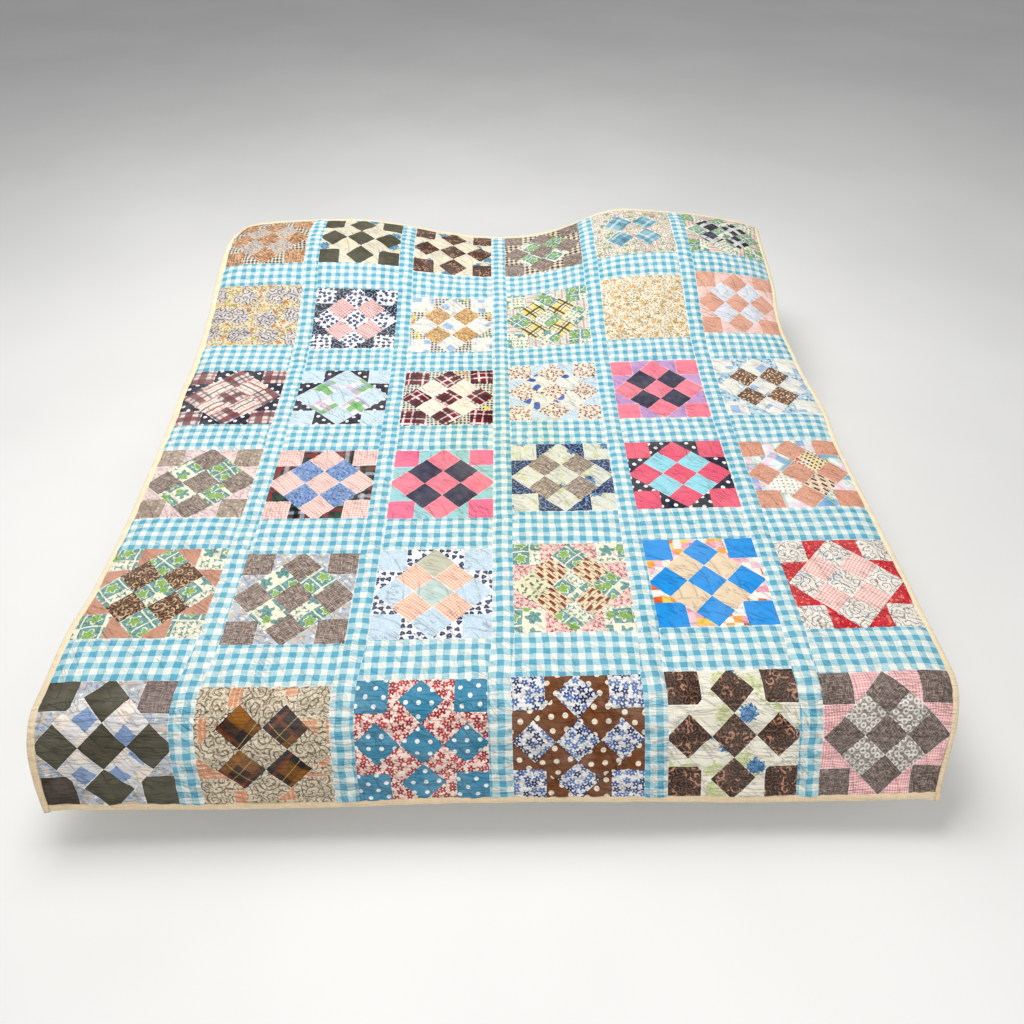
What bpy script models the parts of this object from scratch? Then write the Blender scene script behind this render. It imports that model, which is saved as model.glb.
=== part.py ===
"""A patchwork quilt laid over a plain mattress and two pillows.

Units are metres and +Z is up. +Y runs from the foot of the bed to the head, and +X is the right side
seen from the foot. The quilt is worked out twice: flat, as it was pieced, and draped. In the flat
quilt `across` is measured from the middle line and `along` from the foot hem.
"""

import math

import bmesh
import bpy
import numpy as np

# ---------------------------------------------------------------- the flat quilt
BLOCK = 0.2286                    # a nine-inch block
LONG_SASH = 0.0416                # the unbroken strips between the columns
CROSS_SASH = 0.0968               # the strips between the blocks of a column
BINDING = 0.0127                  # half an inch on the face
COLUMNS = 6
ROWS = 6
HALF_WIDTH = (COLUMNS * BLOCK + (COLUMNS - 1) * LONG_SASH) / 2 + BINDING
LENGTH = ROWS * BLOCK + (ROWS - 1) * CROSS_SASH + 2 * BINDING
SEAM_THICK = 0.005                # top, wadding and backing pressed at a seam
PUFF_THICK = 0.008                # the same in the middle of a block
BINDING_THICK = 0.0065
SEWN_GAP = 0.0005                 # between the cloth and its binding
REST_GAP = 0.0003                 # between pieces that lie on each other

# How far each row's blocks were sewn off the even layout, in millimetres, from the foot up:
# (sway of the whole row to the right, then the six blocks' drift towards the head)
ROW_DRIFT = {
    "foot row": (-6, (5, -10, 0, 2, 6, -6)),
    "second row": (2, (2, -15, -8, 3, 8, -5)),
    "third row": (4, (-2, -8, -12, 5, 6, -1)),
    "fourth row": (3, (-2, -4, -12, 3, 2, 6)),
    "fifth row": (2, (12, -2, -22, -10, -8, 10)),
    "head row": (0, (-3, -2, -12, -11, -12, 0)),
}

# ---------------------------------------------------------------- what it lies on
MATTRESS_TOP = 0.24
MATTRESS_HALF_WIDTH = 0.765
MATTRESS_FOOT = -0.84
MATTRESS_HEAD = 0.975
MATTRESS_CORNER = 0.09            # radius of a corner seen from above
MATTRESS_EDGE = 0.075             # radius of the top and bottom edges
ORIGIN = (0.0046, 0.0103)         # the middle of everything seen from above

# Each pillow lifts the cloth in a soft hill: (middle x, middle y, height, reach to the left,
# reach to the right, reach to the foot), in metres. A hill is down to 0.6 of its height at its reach.
HILLS = {
    "left": (-0.486, 0.767, 0.132, 0.522, 0.282, 0.222),
    "right": (0.470, 0.736, 0.148, 0.249, 0.331, 0.287),
}
HILL_BACK = 0.286                 # reach to the head
HILL_POWER = 2.26                 # 2 is a bell, more is a flatter crown
SADDLE = (0.055, 0.42)            # height and reach of the cloth between the two pillows
PEAK = (0.345, 0.85, 0.018, 0.11)   # x, y, height and reach of the plump corner at the head
PILLOW_HALF = (0.33, 0.22)        # half length and half depth
PILLOW_MIDDLE = {"left": (-0.43, 0.745), "right": (0.43, 0.745)}
PILLOW_CLEAR = 0.002              # between a pillow's crown and the cloth

# ---------------------------------------------------------------- how the foot hangs
ROLL_FROM = -0.79                 # where the cloth starts to bend over the foot edge
HANG = {                          # across, length past that line, steepest angle of the hang
    "left": (-0.80, 0.209, math.radians(69)),
    "middle": (0.0, 0.229, math.radians(65)),
    "right": (0.80, 0.234, math.radians(55)),
}
BEND_RADIUS = 0.062
HEM_WAVE = (0.007, 1.08, -0.52)   # height, pitch and first dip of the hem's slow wave
SIDE_DROOP = (0.73, 0.07, 0.008)  # the sides sink a little past the mattress: start, run, drop
FOOT_SPREAD = 0.024               # the sides lie a little farther out at the foot and the head
# The side edges do not lie straight: (place along the flat cloth, how far out, reach), in metres.
EDGE_SWAY = {
    "left": ((0.10, 0.008, 0.12), (0.34, 0.012, 0.10), (1.28, 0.024, 0.42), (1.90, -0.026, 0.07)),
    "right": (
        (0.0, -0.036, 0.13), (0.60, 0.007, 0.30), (1.02, 0.014, 0.12), (1.38, -0.013, 0.11),
        (1.90, 0.020, 0.13),
    ),
}
SWAY_FROM = 0.42                  # nearer the middle than this, the cloth lies straight

GRID_BLOCK = (4, 6)               # cells across and along a block
GRID_SASH = (2, 2)                # cells across a long sash and along a cross sash
STEPS = 120                       # steps that measure the cloth along its length


def through_three(table, across, column):
    """The parabola through a three-row table's values."""
    points = [(row[0], row[column]) for row in table.values()]
    total = 0.0
    for here, value in points:
        share = value
        for there, _ in points:
            if there != here:
                share = share * (across - there) / (here - there)
        total = total + share
    return total


def bell(distance, reach_low, reach_high, power):
    """The exponent of a soft hill with a different reach on each side."""
    reach = np.where(distance < 0, reach_low, reach_high)
    return 0.5 * np.abs(distance / reach) ** power


def hill(name, x, y):
    """Height of the cloth over one pillow alone."""
    middle_x, middle_y, height, left, right, foot = HILLS[name]
    across = bell(x - middle_x, left, right, HILL_POWER)
    along = bell(y - middle_y, foot, HILL_BACK, HILL_POWER)
    return height * np.exp(-across - along)


def rise(x, y):
    """Height of the cloth over the mattress top."""
    height, reach = SADDLE
    left, right = HILLS["left"], HILLS["right"]
    middle_y = (left[1] + right[1]) / 2
    foot_reach = (left[5] + right[5]) / 2
    saddle = height * np.exp(-((x / reach) ** 2) - bell(y - middle_y, foot_reach, HILL_BACK, HILL_POWER))
    peak_x, peak_y, peak_height, peak_reach = PEAK
    peak = peak_height * np.exp(-((x - peak_x) ** 2 + (y - peak_y) ** 2) / peak_reach**2)
    return np.sqrt(hill("left", x, y) ** 2 + hill("right", x, y) ** 2 + saddle**2) + peak


def edge_sway(across, along):
    """How far to the right of its straight line a place of the cloth lies."""
    share = np.clip((np.abs(across) - SWAY_FROM) / (HALF_WIDTH - SWAY_FROM), 0, 1) ** 2
    total = np.zeros(across.shape)
    for name, side in (("left", -1), ("right", 1)):
        for middle, out, reach in EDGE_SWAY[name]:
            wave = side * out * np.exp(-(((along - middle) / reach) ** 2))
            total = total + np.where(np.sign(across) == side, share * wave, 0)
    return total


def drape(across, along):
    """Where points of the flat quilt come to lie: the underside of the cloth, as an array of x, y, z."""
    across = np.asarray(across, float)
    along = np.asarray(along, float)
    bend_at = through_three(HANG, across, 1)
    steepest = through_three(HANG, across, 2)

    # Up the bed the cloth keeps its length while it climbs the hills.
    step = np.maximum(along - bend_at, 0) / STEPS
    y = np.full(across.shape, ROLL_FROM)
    probe = 0.001
    for _ in range(STEPS):
        slope = (rise(across, y + probe) - rise(across, y - probe)) / (2 * probe)
        half_way = y + 0.5 * step / np.sqrt(1 + slope**2)
        slope = (rise(across, half_way + probe) - rise(across, half_way - probe)) / (2 * probe)
        y = y + step / np.sqrt(1 + slope**2)
    z = rise(across, y)

    # Over the foot edge it turns down to its steepest angle and hangs there.
    past = np.maximum(bend_at - along, 0)
    step = past / STEPS
    for number in range(STEPS):
        angle = steepest * np.tanh((number + 0.5) * step / BEND_RADIUS / steepest)
        y = y - np.cos(angle) * step
        z = z - np.sin(angle) * step
    wave, pitch, dip = HEM_WAVE
    z = z - wave * (past / bend_at) ** 2 * np.cos(2 * math.pi * (across - dip) / pitch)

    start, run, drop = SIDE_DROOP
    z = z - drop * (np.maximum(np.abs(across) - start, 0) / run) ** 2
    x = across * (1 + FOOT_SPREAD * y**2) + edge_sway(across, along)
    return np.stack([x - ORIGIN[0], y - ORIGIN[1], z + MATTRESS_TOP + REST_GAP], axis=-1)


def seams_across(row):
    """The twelve block edges of a row, from left to right. The outermost ones meet the binding."""
    sway = list(ROW_DRIFT.values())[row][0] / 1000
    edges = []
    for column in range(COLUMNS):
        left = BINDING - HALF_WIDTH + column * (BLOCK + LONG_SASH)
        edges += [left + sway, left + sway + BLOCK]
    edges[0] = BINDING - HALF_WIDTH
    edges[-1] = HALF_WIDTH - BINDING
    return edges


def seams_along(column):
    """The twelve block edges of a column, from the foot up. The outermost ones meet the binding."""
    edges = []
    for row, (_, drifts) in enumerate(ROW_DRIFT.values()):
        foot = BINDING + row * (BLOCK + CROSS_SASH) + drifts[column] / 1000
        edges += [foot, foot + BLOCK]
    edges[0] = BINDING
    edges[-1] = LENGTH - BINDING
    return edges


def net():
    """The corners of all blocks in the flat quilt, as two 12 by 12 arrays: along by across."""
    across = np.array([seams_across(line // 2) for line in range(2 * ROWS)])
    along = np.array([seams_along(line // 2) for line in range(2 * COLUMNS)]).T
    return across, along


def places(cells_block, cells_sash):
    """Where the grid lines lie, counted in seams: 0 to 11 with the cells between."""
    lines = []
    for seam in range(2 * COLUMNS - 1):
        cells = cells_sash if seam % 2 else cells_block
        lines += [seam + cell / cells for cell in range(cells)]
    return np.array(lines + [2.0 * COLUMNS - 1])


def between(values, rows, columns):
    """Reads a 12 by 12 array at places between its lines."""
    row, column = np.meshgrid(rows, columns, indexing="ij")
    row_low = np.minimum(row.astype(int), values.shape[0] - 2)
    column_low = np.minimum(column.astype(int), values.shape[1] - 2)
    row_part = row - row_low
    column_part = column - column_low
    low = values[row_low, column_low] * (1 - column_part) + values[row_low, column_low + 1] * column_part
    high = values[row_low + 1, column_low] * (1 - column_part)
    high = high + values[row_low + 1, column_low + 1] * column_part
    return low * (1 - row_part) + high * row_part


def puff(rows, columns):
    """0 on a seam and 1 in the middle of a block. The long sashes are not cut by cross seams."""
    row, column = np.meshgrid(rows, columns, indexing="ij")
    over_width = np.sin(math.pi * (column % 1))
    over_length = np.sin(math.pi * (row % 1))
    in_long_sash = (column.astype(int) % 2 == 1) & (column % 1 > 0)
    inside = (row > 0) & (row < 2 * ROWS - 1)
    over_length = np.where(in_long_sash & inside, 1.0, over_length)
    return np.sqrt(np.clip(over_width, 0, 1) * np.clip(over_length, 0, 1))


def material(name, colour, roughness):
    shade = bpy.data.materials.new(name)
    shade.use_nodes = True
    principled = shade.node_tree.nodes["Principled BSDF"]
    principled.inputs["Base Color"].default_value = (*colour, 1)
    principled.inputs["Roughness"].default_value = roughness
    principled.inputs["Metallic"].default_value = 0
    return shade


def add(name, mesh_builder, shade):
    """Makes a mesh object from a bmesh and puts it in the quilt's collection."""
    mesh = bpy.data.meshes.new(name)
    mesh_builder.to_mesh(mesh)
    mesh_builder.free()
    mesh.materials.append(shade)
    mesh.shade_smooth()
    piece = bpy.data.objects.new(name, mesh)
    collection.objects.link(piece)
    return piece


def sheet(points):
    """A grid of faces through an array of points, faces up."""
    rows, columns = points.shape[:2]
    builder = bmesh.new()
    bmesh.ops.create_grid(builder, x_segments=columns - 1, y_segments=rows - 1, size=1)
    builder.verts.ensure_lookup_table()
    for vert, place in zip(builder.verts, points.reshape(-1, 3)):
        vert.co = place
    return builder


def thicken(piece, thickness):
    """Gives an open sheet its thickness, upwards from its underside."""
    solidify = piece.modifiers.new("thickness", "SOLIDIFY")
    solidify.thickness = thickness
    solidify.offset = 1
    solidify.use_rim = True
    return solidify


def add_quilt():
    """The pieced top, wadding and backing in one, raised between the seams."""
    rows = places(GRID_BLOCK[1], GRID_SASH[1])
    columns = places(GRID_BLOCK[0], GRID_SASH[0])
    across, along = net()
    points = drape(between(across, rows, columns), between(along, rows, columns))
    quilt = add("quilt", sheet(points), material("quilt_cotton", (0.62, 0.78, 0.82), 0.9))
    raised = quilt.vertex_groups.new(name="raised")
    for index, weight in enumerate(puff(rows, columns).ravel()):
        raised.add([index], float(weight), "REPLACE")
    solidify = thicken(quilt, PUFF_THICK)
    solidify.vertex_group = raised.name
    solidify.thickness_vertex_group = SEAM_THICK / PUFF_THICK


def add_binding():
    """Four strips round the edge. The side strips run the full length and cover the corners."""
    cream = material("binding_cotton", (0.90, 0.84, 0.72), 0.9)
    rows = places(GRID_BLOCK[1], GRID_SASH[1])
    columns = places(GRID_BLOCK[0], GRID_SASH[0])
    across, along = net()
    inner = HALF_WIDTH - BINDING + SEWN_GAP
    for name, side in (("left", -1), ("right", 1)):
        edge_line = between(along, rows, np.array([0.0 if side < 0 else 2.0 * COLUMNS - 1]))[:, 0]
        stations = np.concatenate([[0.0], edge_line, [LENGTH]])
        widths = sorted([side * inner, side * HALF_WIDTH])
        strip = drape(*np.meshgrid(widths, stations))
        thicken(add("binding_" + name, sheet(strip), cream), BINDING_THICK)
    inner = BINDING - SEWN_GAP
    for name, row, low, high in (("foot", 0.0, 0.0, inner), ("head", 2.0 * ROWS - 1, LENGTH - inner, LENGTH)):
        edge_line = between(across, np.array([row]), columns)[0]
        strip = drape(*np.meshgrid(edge_line, [low, high]))
        thicken(add("binding_" + name, sheet(strip), cream), BINDING_THICK)


def add_mattress():
    """A plain rounded block that stands on the floor."""
    builder = bmesh.new()
    bmesh.ops.create_cube(builder, size=1)
    size = (2 * MATTRESS_HALF_WIDTH, MATTRESS_HEAD - MATTRESS_FOOT, MATTRESS_TOP)
    bmesh.ops.scale(builder, vec=size, verts=builder.verts)
    upright = [edge for edge in builder.edges if abs((edge.verts[0].co - edge.verts[1].co).z) > 0.01]
    bmesh.ops.bevel(
        builder, geom=upright, offset=MATTRESS_CORNER, segments=6, profile=0.5, affect="EDGES"
    )
    level = [edge for edge in builder.edges if abs((edge.verts[0].co - edge.verts[1].co).z) < 0.0001]
    bmesh.ops.bevel(builder, geom=level, offset=MATTRESS_EDGE, segments=5, profile=0.5, affect="EDGES")
    mattress = add("mattress", builder, material("mattress_ticking", (0.88, 0.87, 0.84), 0.85))
    middle_y = (MATTRESS_HEAD + MATTRESS_FOOT) / 2
    mattress.location = (-ORIGIN[0], middle_y - ORIGIN[1], MATTRESS_TOP / 2)


def add_pillow(name):
    """A filled pillow: its crown follows the cloth above it, and its sides are drawn in to the seam."""
    cells = (14, 10)
    place = np.stack(np.meshgrid(np.linspace(-1, 1, cells[0] + 1), np.linspace(-1, 1, cells[1] + 1)), -1)
    # Cells are closer towards the seam, and the sides pull in between the corners.
    place = np.sin(place * math.pi / 2)
    pull = 0.05
    s, t = place[..., 0], place[..., 1]
    middle_x, middle_y = PILLOW_MIDDLE[name]
    x = middle_x + PILLOW_HALF[0] * s * (1 - pull * (1 - t**2))
    y = middle_y + PILLOW_HALF[1] * t * (1 - pull * (1 - s**2))
    crown = hill(name, x, y) - PILLOW_CLEAR
    seam = 0.35 * crown
    full = ((1 - np.abs(s) ** 5) * (1 - np.abs(t) ** 5)) ** 0.5
    top = seam + (crown - seam) * full
    bottom = seam * (1 - np.minimum(1.0, 1.6 * full))
    halves = []
    for height in (top, bottom):
        level = height + MATTRESS_TOP + REST_GAP
        halves.append(np.stack([x - ORIGIN[0], y - ORIGIN[1], level], -1))
    builder = sheet(halves[0])
    lower = bmesh.ops.duplicate(builder, geom=builder.verts[:] + builder.edges[:] + builder.faces[:])
    lower_verts = [item for item in lower["geom"] if isinstance(item, bmesh.types.BMVert)]
    lower_faces = [item for item in lower["geom"] if isinstance(item, bmesh.types.BMFace)]
    for vert, point in zip(lower_verts, halves[1].reshape(-1, 3)):
        vert.co = point
    bmesh.ops.reverse_faces(builder, faces=lower_faces)
    bmesh.ops.remove_doubles(builder, verts=builder.verts, dist=0.00005)
    add("pillow_" + name, builder, material("pillow_cotton_" + name, (0.92, 0.91, 0.88), 0.85))


for old in list(bpy.data.objects):
    bpy.data.objects.remove(old, do_unlink=True)
collection = bpy.data.collections.new("patchwork_quilt")
bpy.context.scene.collection.children.link(collection)

add_mattress()
for side in PILLOW_MIDDLE:
    add_pillow(side)
add_quilt()
add_binding()
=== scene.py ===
import math

import bmesh
import bpy
import numpy as np
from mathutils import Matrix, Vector


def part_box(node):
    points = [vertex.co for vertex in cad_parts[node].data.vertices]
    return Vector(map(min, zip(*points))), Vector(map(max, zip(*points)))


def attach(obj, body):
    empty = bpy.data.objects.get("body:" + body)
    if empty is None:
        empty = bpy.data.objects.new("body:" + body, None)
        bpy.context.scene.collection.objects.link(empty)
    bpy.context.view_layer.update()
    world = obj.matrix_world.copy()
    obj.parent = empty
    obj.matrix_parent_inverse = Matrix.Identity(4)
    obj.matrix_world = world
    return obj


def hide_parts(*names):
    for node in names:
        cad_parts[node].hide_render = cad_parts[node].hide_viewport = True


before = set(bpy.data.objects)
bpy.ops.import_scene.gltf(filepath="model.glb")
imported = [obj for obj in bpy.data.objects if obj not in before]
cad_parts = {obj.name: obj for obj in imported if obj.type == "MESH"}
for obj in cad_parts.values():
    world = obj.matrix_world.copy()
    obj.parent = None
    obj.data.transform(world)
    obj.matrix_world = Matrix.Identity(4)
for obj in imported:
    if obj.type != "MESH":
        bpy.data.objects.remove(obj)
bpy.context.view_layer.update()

# ---------------------------------------------------------------- the mattress
# A soft rounded mattress in cream ticking with fine grey stripes. The top and bottom panels of its cover
# are sewn to the side panel, with a piping cord caught in each of the two seams.
MATTRESS_CORNER = 0.09            # radius of a corner seen from above
MATTRESS_EDGE = 0.075             # radius of the top and bottom edges
MATTRESS_CELL = 0.02              # size of the cover's mesh cells
MATTRESS_HOLLOWS = 0.003          # how deep the cover's soft hollows are
HOLLOW_SIZE = 0.16
CORD_TURNS = 12                   # straight pieces of a cord in each corner
PIPING_RADIUS = 0.0035
PIPING_INSET = MATTRESS_EDGE * (1 - math.sqrt(0.5))   # of a seam half way round the rounded edge
PIPING_SHIFT = 0.001              # a cord lies this far past its seam, towards the side panel
TICKING_CREAM = (236, 231, 219)
TICKING_SOIL = (228, 220, 202)
TICKING_GREY = (150, 158, 168)
TICKING_SHADE = (120, 115, 105)
TICKING_STRIPE = 0.024            # from one group of stripes to the next
TICKING_WIDE = 0.16               # share of a repeat that its wide stripe takes up
TICKING_THIN = 0.04
TICKING_THIN_STARTS = (0.1, 0.78)
TICKING_RIB = 0.0016
TICKING_RIB_HEIGHT = 0.00012
TICKING_DENT = 0.003              # of the slow unevenness of its surface
SAME_LEVEL = 0.0001               # an edge's ends closer in height than this are level


def dye(colour):
    """A colour as a dyer would match it, 0 to 255, in the renderer's linear light."""
    shares = [part / 255 for part in colour]
    return (*(s / 12.92 if s <= 0.04045 else ((s + 0.055) / 1.055) ** 2.4 for s in shares), 1)


class Loom:
    """Joins shader nodes into a cloth. Each method adds some and returns the socket with their result."""

    def __init__(self, tree, cloth=None):
        self.tree = tree
        self.cloth = cloth

    def feed(self, socket, value):
        if isinstance(value, bpy.types.NodeSocket):
            self.tree.links.new(value, socket)
        elif value is not None:
            socket.default_value = dye(value) if socket.type == "RGBA" else value

    def add(self, kind, *values, out=0, **settings):
        node = self.tree.nodes.new("ShaderNode" + kind)
        for setting, value in settings.items():
            setattr(node, setting, value)
        for socket, value in zip(node.inputs, values):
            self.feed(socket, value)
        return node.outputs[out]

    def sum(self, operation, *values):
        return self.add("Math", *values, operation=operation)

    def times(self, first, *others):
        for other in others:
            first = self.sum("MULTIPLY", first, other)
        return first

    def plus(self, first, second):
        return self.sum("ADD", first, second)

    def minus(self, first, second):
        return self.sum("SUBTRACT", first, second)

    def most(self, first, second):
        return self.sum("MAXIMUM", first, second)

    def below(self, value, limit):
        """1 where the value is below the limit, and 0 elsewhere."""
        return self.sum("LESS_THAN", value, limit)

    def above(self, value, limit):
        return self.sum("GREATER_THAN", value, limit)

    def wave(self, value, length):
        """Goes from -1 to 1 and back over each length."""
        return self.sum("SINE", self.times(value, 2 * math.pi / length))

    def arrow(self, operation, *values, out=0):
        return self.add("VectorMath", *values, out=out, operation=operation)

    def parts(self, place):
        """The two flat coordinates of a place."""
        x = self.add("SeparateXYZ", place)
        return x, x.node.outputs[1]

    def spot(self):
        """The place on a piece that has no flat cut of cloth."""
        return self.tree.nodes.new("ShaderNodeTexCoord").outputs["Object"]

    def place(self, across, along, third=0.0):
        return self.add("CombineXYZ", across, along, third)

    def mix(self, share, under, over, blend="MIX"):
        """Lays one colour over another by a share from 0 to 1."""
        node = self.tree.nodes.new("ShaderNodeMix")
        node.data_type = "RGBA"
        node.blend_type = blend
        for index, value in ((0, share), (6, under), (7, over)):
            self.feed(node.inputs[index], value)
        return node.outputs[2]

    def ramp(self, value, low, high, first=0.0, last=1.0):
        """Goes smoothly from first to last while the value goes from low to high."""
        return self.add("MapRange", value, low, high, first, last, interpolation_type="SMOOTHSTEP")

    def cloud(self, place, width, length=None, detail=1.0):
        """Cloudy value from 0 to 1 with lumps of about that width and length, in metres."""
        stretched = self.arrow("MULTIPLY", place, (1 / width, 1 / (length or width), 1 / width))
        return self.add("TexNoise", stretched, None, 1.0, detail)

    def bend(self, place, size, strength):
        """Moves a place a little by soft noise of that size, so that a shape there comes out uneven."""
        noise = self.add("TexNoise", place, None, 1 / size, out=1)
        shift = self.arrow("SUBTRACT", noise, (0.5, 0.5, 0.5))
        return self.arrow("MULTIPLY_ADD", shift, (strength, strength, 0), place)

    def band(self, value, repeat, share, start=0.0):
        """1 inside a stripe that takes up this share of each repeat, and 0 outside it."""
        turn = self.sum("FRACT", self.plus(self.sum("DIVIDE", value, repeat), start))
        return self.below(turn, share)

    def bump(self, height):
        return self.add("Bump", 1.0, 1.0, None, height)

    def finish(self, colour, facing=None):
        """Gives the cloth its colour and the way its face turns, and returns it."""
        shader = self.tree.nodes["Principled BSDF"]
        self.feed(shader.inputs["Base Color"], colour)
        self.feed(shader.inputs["Normal"], facing)
        return self.cloth


def new_cloth(name, roughness, sheen):
    """The loom of a matt cotton material. Sheen is the soft glow of its loose fibres."""
    cloth = bpy.data.materials.new(name)
    cloth.use_nodes = True
    shader = cloth.node_tree.nodes["Principled BSDF"]
    shader.inputs["Roughness"].default_value = roughness
    shader.inputs["Metallic"].default_value = 0
    shader.inputs["Specular IOR Level"].default_value = 0.10
    shader.inputs["Sheen Weight"].default_value = sheen
    shader.inputs["Sheen Roughness"].default_value = 0.5
    return Loom(cloth.node_tree, cloth)


def put(name, data):
    """Puts a mesh, curve, light or camera into the scene under its name."""
    thing = bpy.data.objects.new(name, data)
    bpy.context.scene.collection.objects.link(thing)
    return thing


def add_piece(name, builder, *cloths):
    """Makes a mesh object from a bmesh and dresses it in its cloths."""
    mesh = bpy.data.meshes.new(name)
    builder.to_mesh(mesh)
    builder.free()
    for cloth in cloths:
        mesh.materials.append(cloth)
    mesh.shade_smooth()
    return put(name, mesh)


def ticking():
    """Cream twill with narrow grey stripes, upright all round the side panel and lengthwise on the others."""
    loom = new_cloth("mattress_ticking", 0.85, 0.15)
    spot = loom.spot()
    low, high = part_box("mattress")
    x, y = loom.parts(loom.arrow("SUBTRACT", spot, (low + high) / 2))
    # The side panel's stripes are counted round the mattress. Each side and the four corners take up
    # a whole number of repeats, so that the stripes meet.
    repeats = round(2 * math.pi * MATTRESS_CORNER / TICKING_STRIPE)
    on_side, past_side, stretch = [], [], []
    for value, size in ((x, high.x - low.x), (y, high.y - low.y)):
        straight = size - 2 * MATTRESS_CORNER
        on_side.append(loom.sum("MINIMUM", loom.most(value, -straight / 2), straight / 2))
        past_side.append(loom.minus(value, on_side[-1]))
        stretch.append(round(straight / TICKING_STRIPE) * TICKING_STRIPE / straight)
    corner = loom.sum("ARCTAN2", past_side[1], past_side[0])
    round_it = loom.times(corner, repeats * TICKING_STRIPE / (2 * math.pi))
    up_side = loom.times(on_side[1], stretch[1], loom.sum("SIGN", x))
    along_end = loom.times(on_side[0], stretch[0], loom.sum("SIGN", y))
    round_it = loom.minus(loom.plus(round_it, up_side), along_end)
    upwards = loom.add("SeparateXYZ", loom.add("NewGeometry", out=1), out=2)
    level = loom.above(loom.sum("ABSOLUTE", upwards), math.sqrt(0.5))
    run = loom.add("Mix", level, None, round_it, x)
    stripes = loom.band(run, TICKING_STRIPE, TICKING_WIDE)
    for start in TICKING_THIN_STARTS:
        stripes = loom.most(stripes, loom.band(run, TICKING_STRIPE, TICKING_THIN, start))
    rib = loom.wave(loom.arrow("DOT_PRODUCT", spot, (1, 1, 1), out=1), TICKING_RIB)
    soil = loom.cloud(spot, 0.22, detail=2.0)
    cream = loom.mix(loom.ramp(soil, 0.35, 0.75), TICKING_CREAM, TICKING_SOIL)
    printed = loom.mix(loom.times(stripes, 0.75), cream, TICKING_GREY)
    shaded = loom.mix(loom.ramp(rib, -1, 1, 0.0, 0.12), printed, TICKING_SHADE)
    height = loom.plus(loom.times(rib, TICKING_RIB_HEIGHT), loom.times(soil, TICKING_DENT))
    return loom.finish(shaded, loom.bump(height))


def stands_up(edge):
    return abs((edge.verts[0].co - edge.verts[1].co).z) > SAME_LEVEL


def add_mattress():
    low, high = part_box("mattress")
    builder = bmesh.new()
    bmesh.ops.create_cube(builder, size=1)
    bmesh.ops.scale(builder, vec=high - low, verts=builder.verts)
    bmesh.ops.translate(builder, vec=(low + high) / 2, verts=builder.verts)
    # The upright corners are rounded first, and then the level edges.
    for upright, radius, segments in ((True, MATTRESS_CORNER, 10), (False, MATTRESS_EDGE, 8)):
        edges = [edge for edge in builder.edges if stands_up(edge) == upright]
        bmesh.ops.bevel(builder, geom=edges, offset=radius, segments=segments, profile=0.5, affect="EDGES")
    mattress = add_piece("mattress_body", builder, ticking())
    even = mattress.modifiers.new("even mesh", "REMESH")
    even.mode = "VOXEL"
    even.voxel_size = MATTRESS_CELL
    even.use_smooth_shade = True
    hollows = bpy.data.textures.new("mattress_hollows", "CLOUDS")
    hollows.noise_scale = HOLLOW_SIZE
    soft = mattress.modifiers.new("soft hollows", "DISPLACE")
    soft.texture = hollows
    soft.texture_coords = "GLOBAL"
    soft.mid_level = 0
    soft.strength = -MATTRESS_HOLLOWS
    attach(mattress, "root")
    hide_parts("mattress")
    return mattress


def add_piping(name, height):
    """A cord along the seam half way round the mattress's rounded edge."""
    low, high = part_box("mattress")
    radius = MATTRESS_CORNER - PIPING_INSET
    middle = (low + high) / 2
    half_x, half_y, _ = (high - low) / 2 - Vector((MATTRESS_CORNER, MATTRESS_CORNER, 0))
    curve = bpy.data.curves.new(name, "CURVE")
    curve.dimensions = "3D"
    curve.bevel_depth = PIPING_RADIUS
    curve.bevel_resolution = 2
    line = curve.splines.new("POLY")
    points = []
    for corner, (side_x, side_y) in enumerate(((1, 1), (-1, 1), (-1, -1), (1, -1))):
        for turn in range(CORD_TURNS + 1):
            angle = math.pi / 2 * (corner + turn / CORD_TURNS)
            x = middle.x + side_x * half_x + radius * math.cos(angle)
            y = middle.y + side_y * half_y + radius * math.sin(angle)
            points.append((x, y, height, 1))
    line.points.add(len(points) - 1)
    for point, place in zip(line.points, points):
        point.co = place
    line.use_cyclic_u = True
    curve.materials.append(bpy.data.materials["mattress_ticking"])
    cord = put(name, curve)
    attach(cord, "root")


mattress_body = add_mattress()
add_piping("mattress_piping_top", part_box("mattress")[1].z - PIPING_INSET - PIPING_SHIFT)
add_piping("mattress_piping_bottom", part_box("mattress")[0].z + PIPING_INSET + PIPING_SHIFT)

# ---------------------------------------------------------------- the two pillows
# Two filled pillows in plain white percale, laid side by side across the head of the bed. Each case is
# sewn along its four sides, so the sides are drawn in between the corners and small creases start there.
MATTRESS_TOP = 0.24
ORIGIN = (0.0046, 0.0103)         # the middle of everything seen from above
REST_GAP = 0.0003                 # between pieces that lie on each other
# Each pillow lifts the cloth in a soft hill: (middle x, middle y, height, reach to the left,
# reach to the right, reach to the foot), in metres. A hill is down to 0.6 of its height at its reach.
HILLS = {
    "left": (-0.486, 0.767, 0.132, 0.522, 0.282, 0.222),
    "right": (0.470, 0.736, 0.148, 0.249, 0.331, 0.287),
}
HILL_BACK = 0.286                 # reach to the head
HILL_POWER = 2.26                 # 2 is a bell, more is a flatter crown
PILLOW_HALF = (0.33, 0.22)        # half length and half depth
PILLOW_MIDDLE = {"left": (-0.43, 0.745), "right": (0.43, 0.745)}
PILLOW_CLEAR = 0.002              # between a pillow's crown and the cloth
PILLOW_CELLS = (52, 36)
PILLOW_PULL = 0.05                # how far the sides are drawn in
PILLOW_SEAM = 0.35                # height of the seam, as a share of the crown's
PILLOW_CREASE = 0.004             # depth of the creases in its case
PILLOW_DENT = 0.0015              # and of its broad dents
PILLOW_WHITE = (228, 226, 220)
PILLOW_WORN = (218, 214, 205)
PILLOW_SHADE = (190, 187, 181)
THREAD_PITCH = 0.0009             # of fine plain cotton
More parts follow.
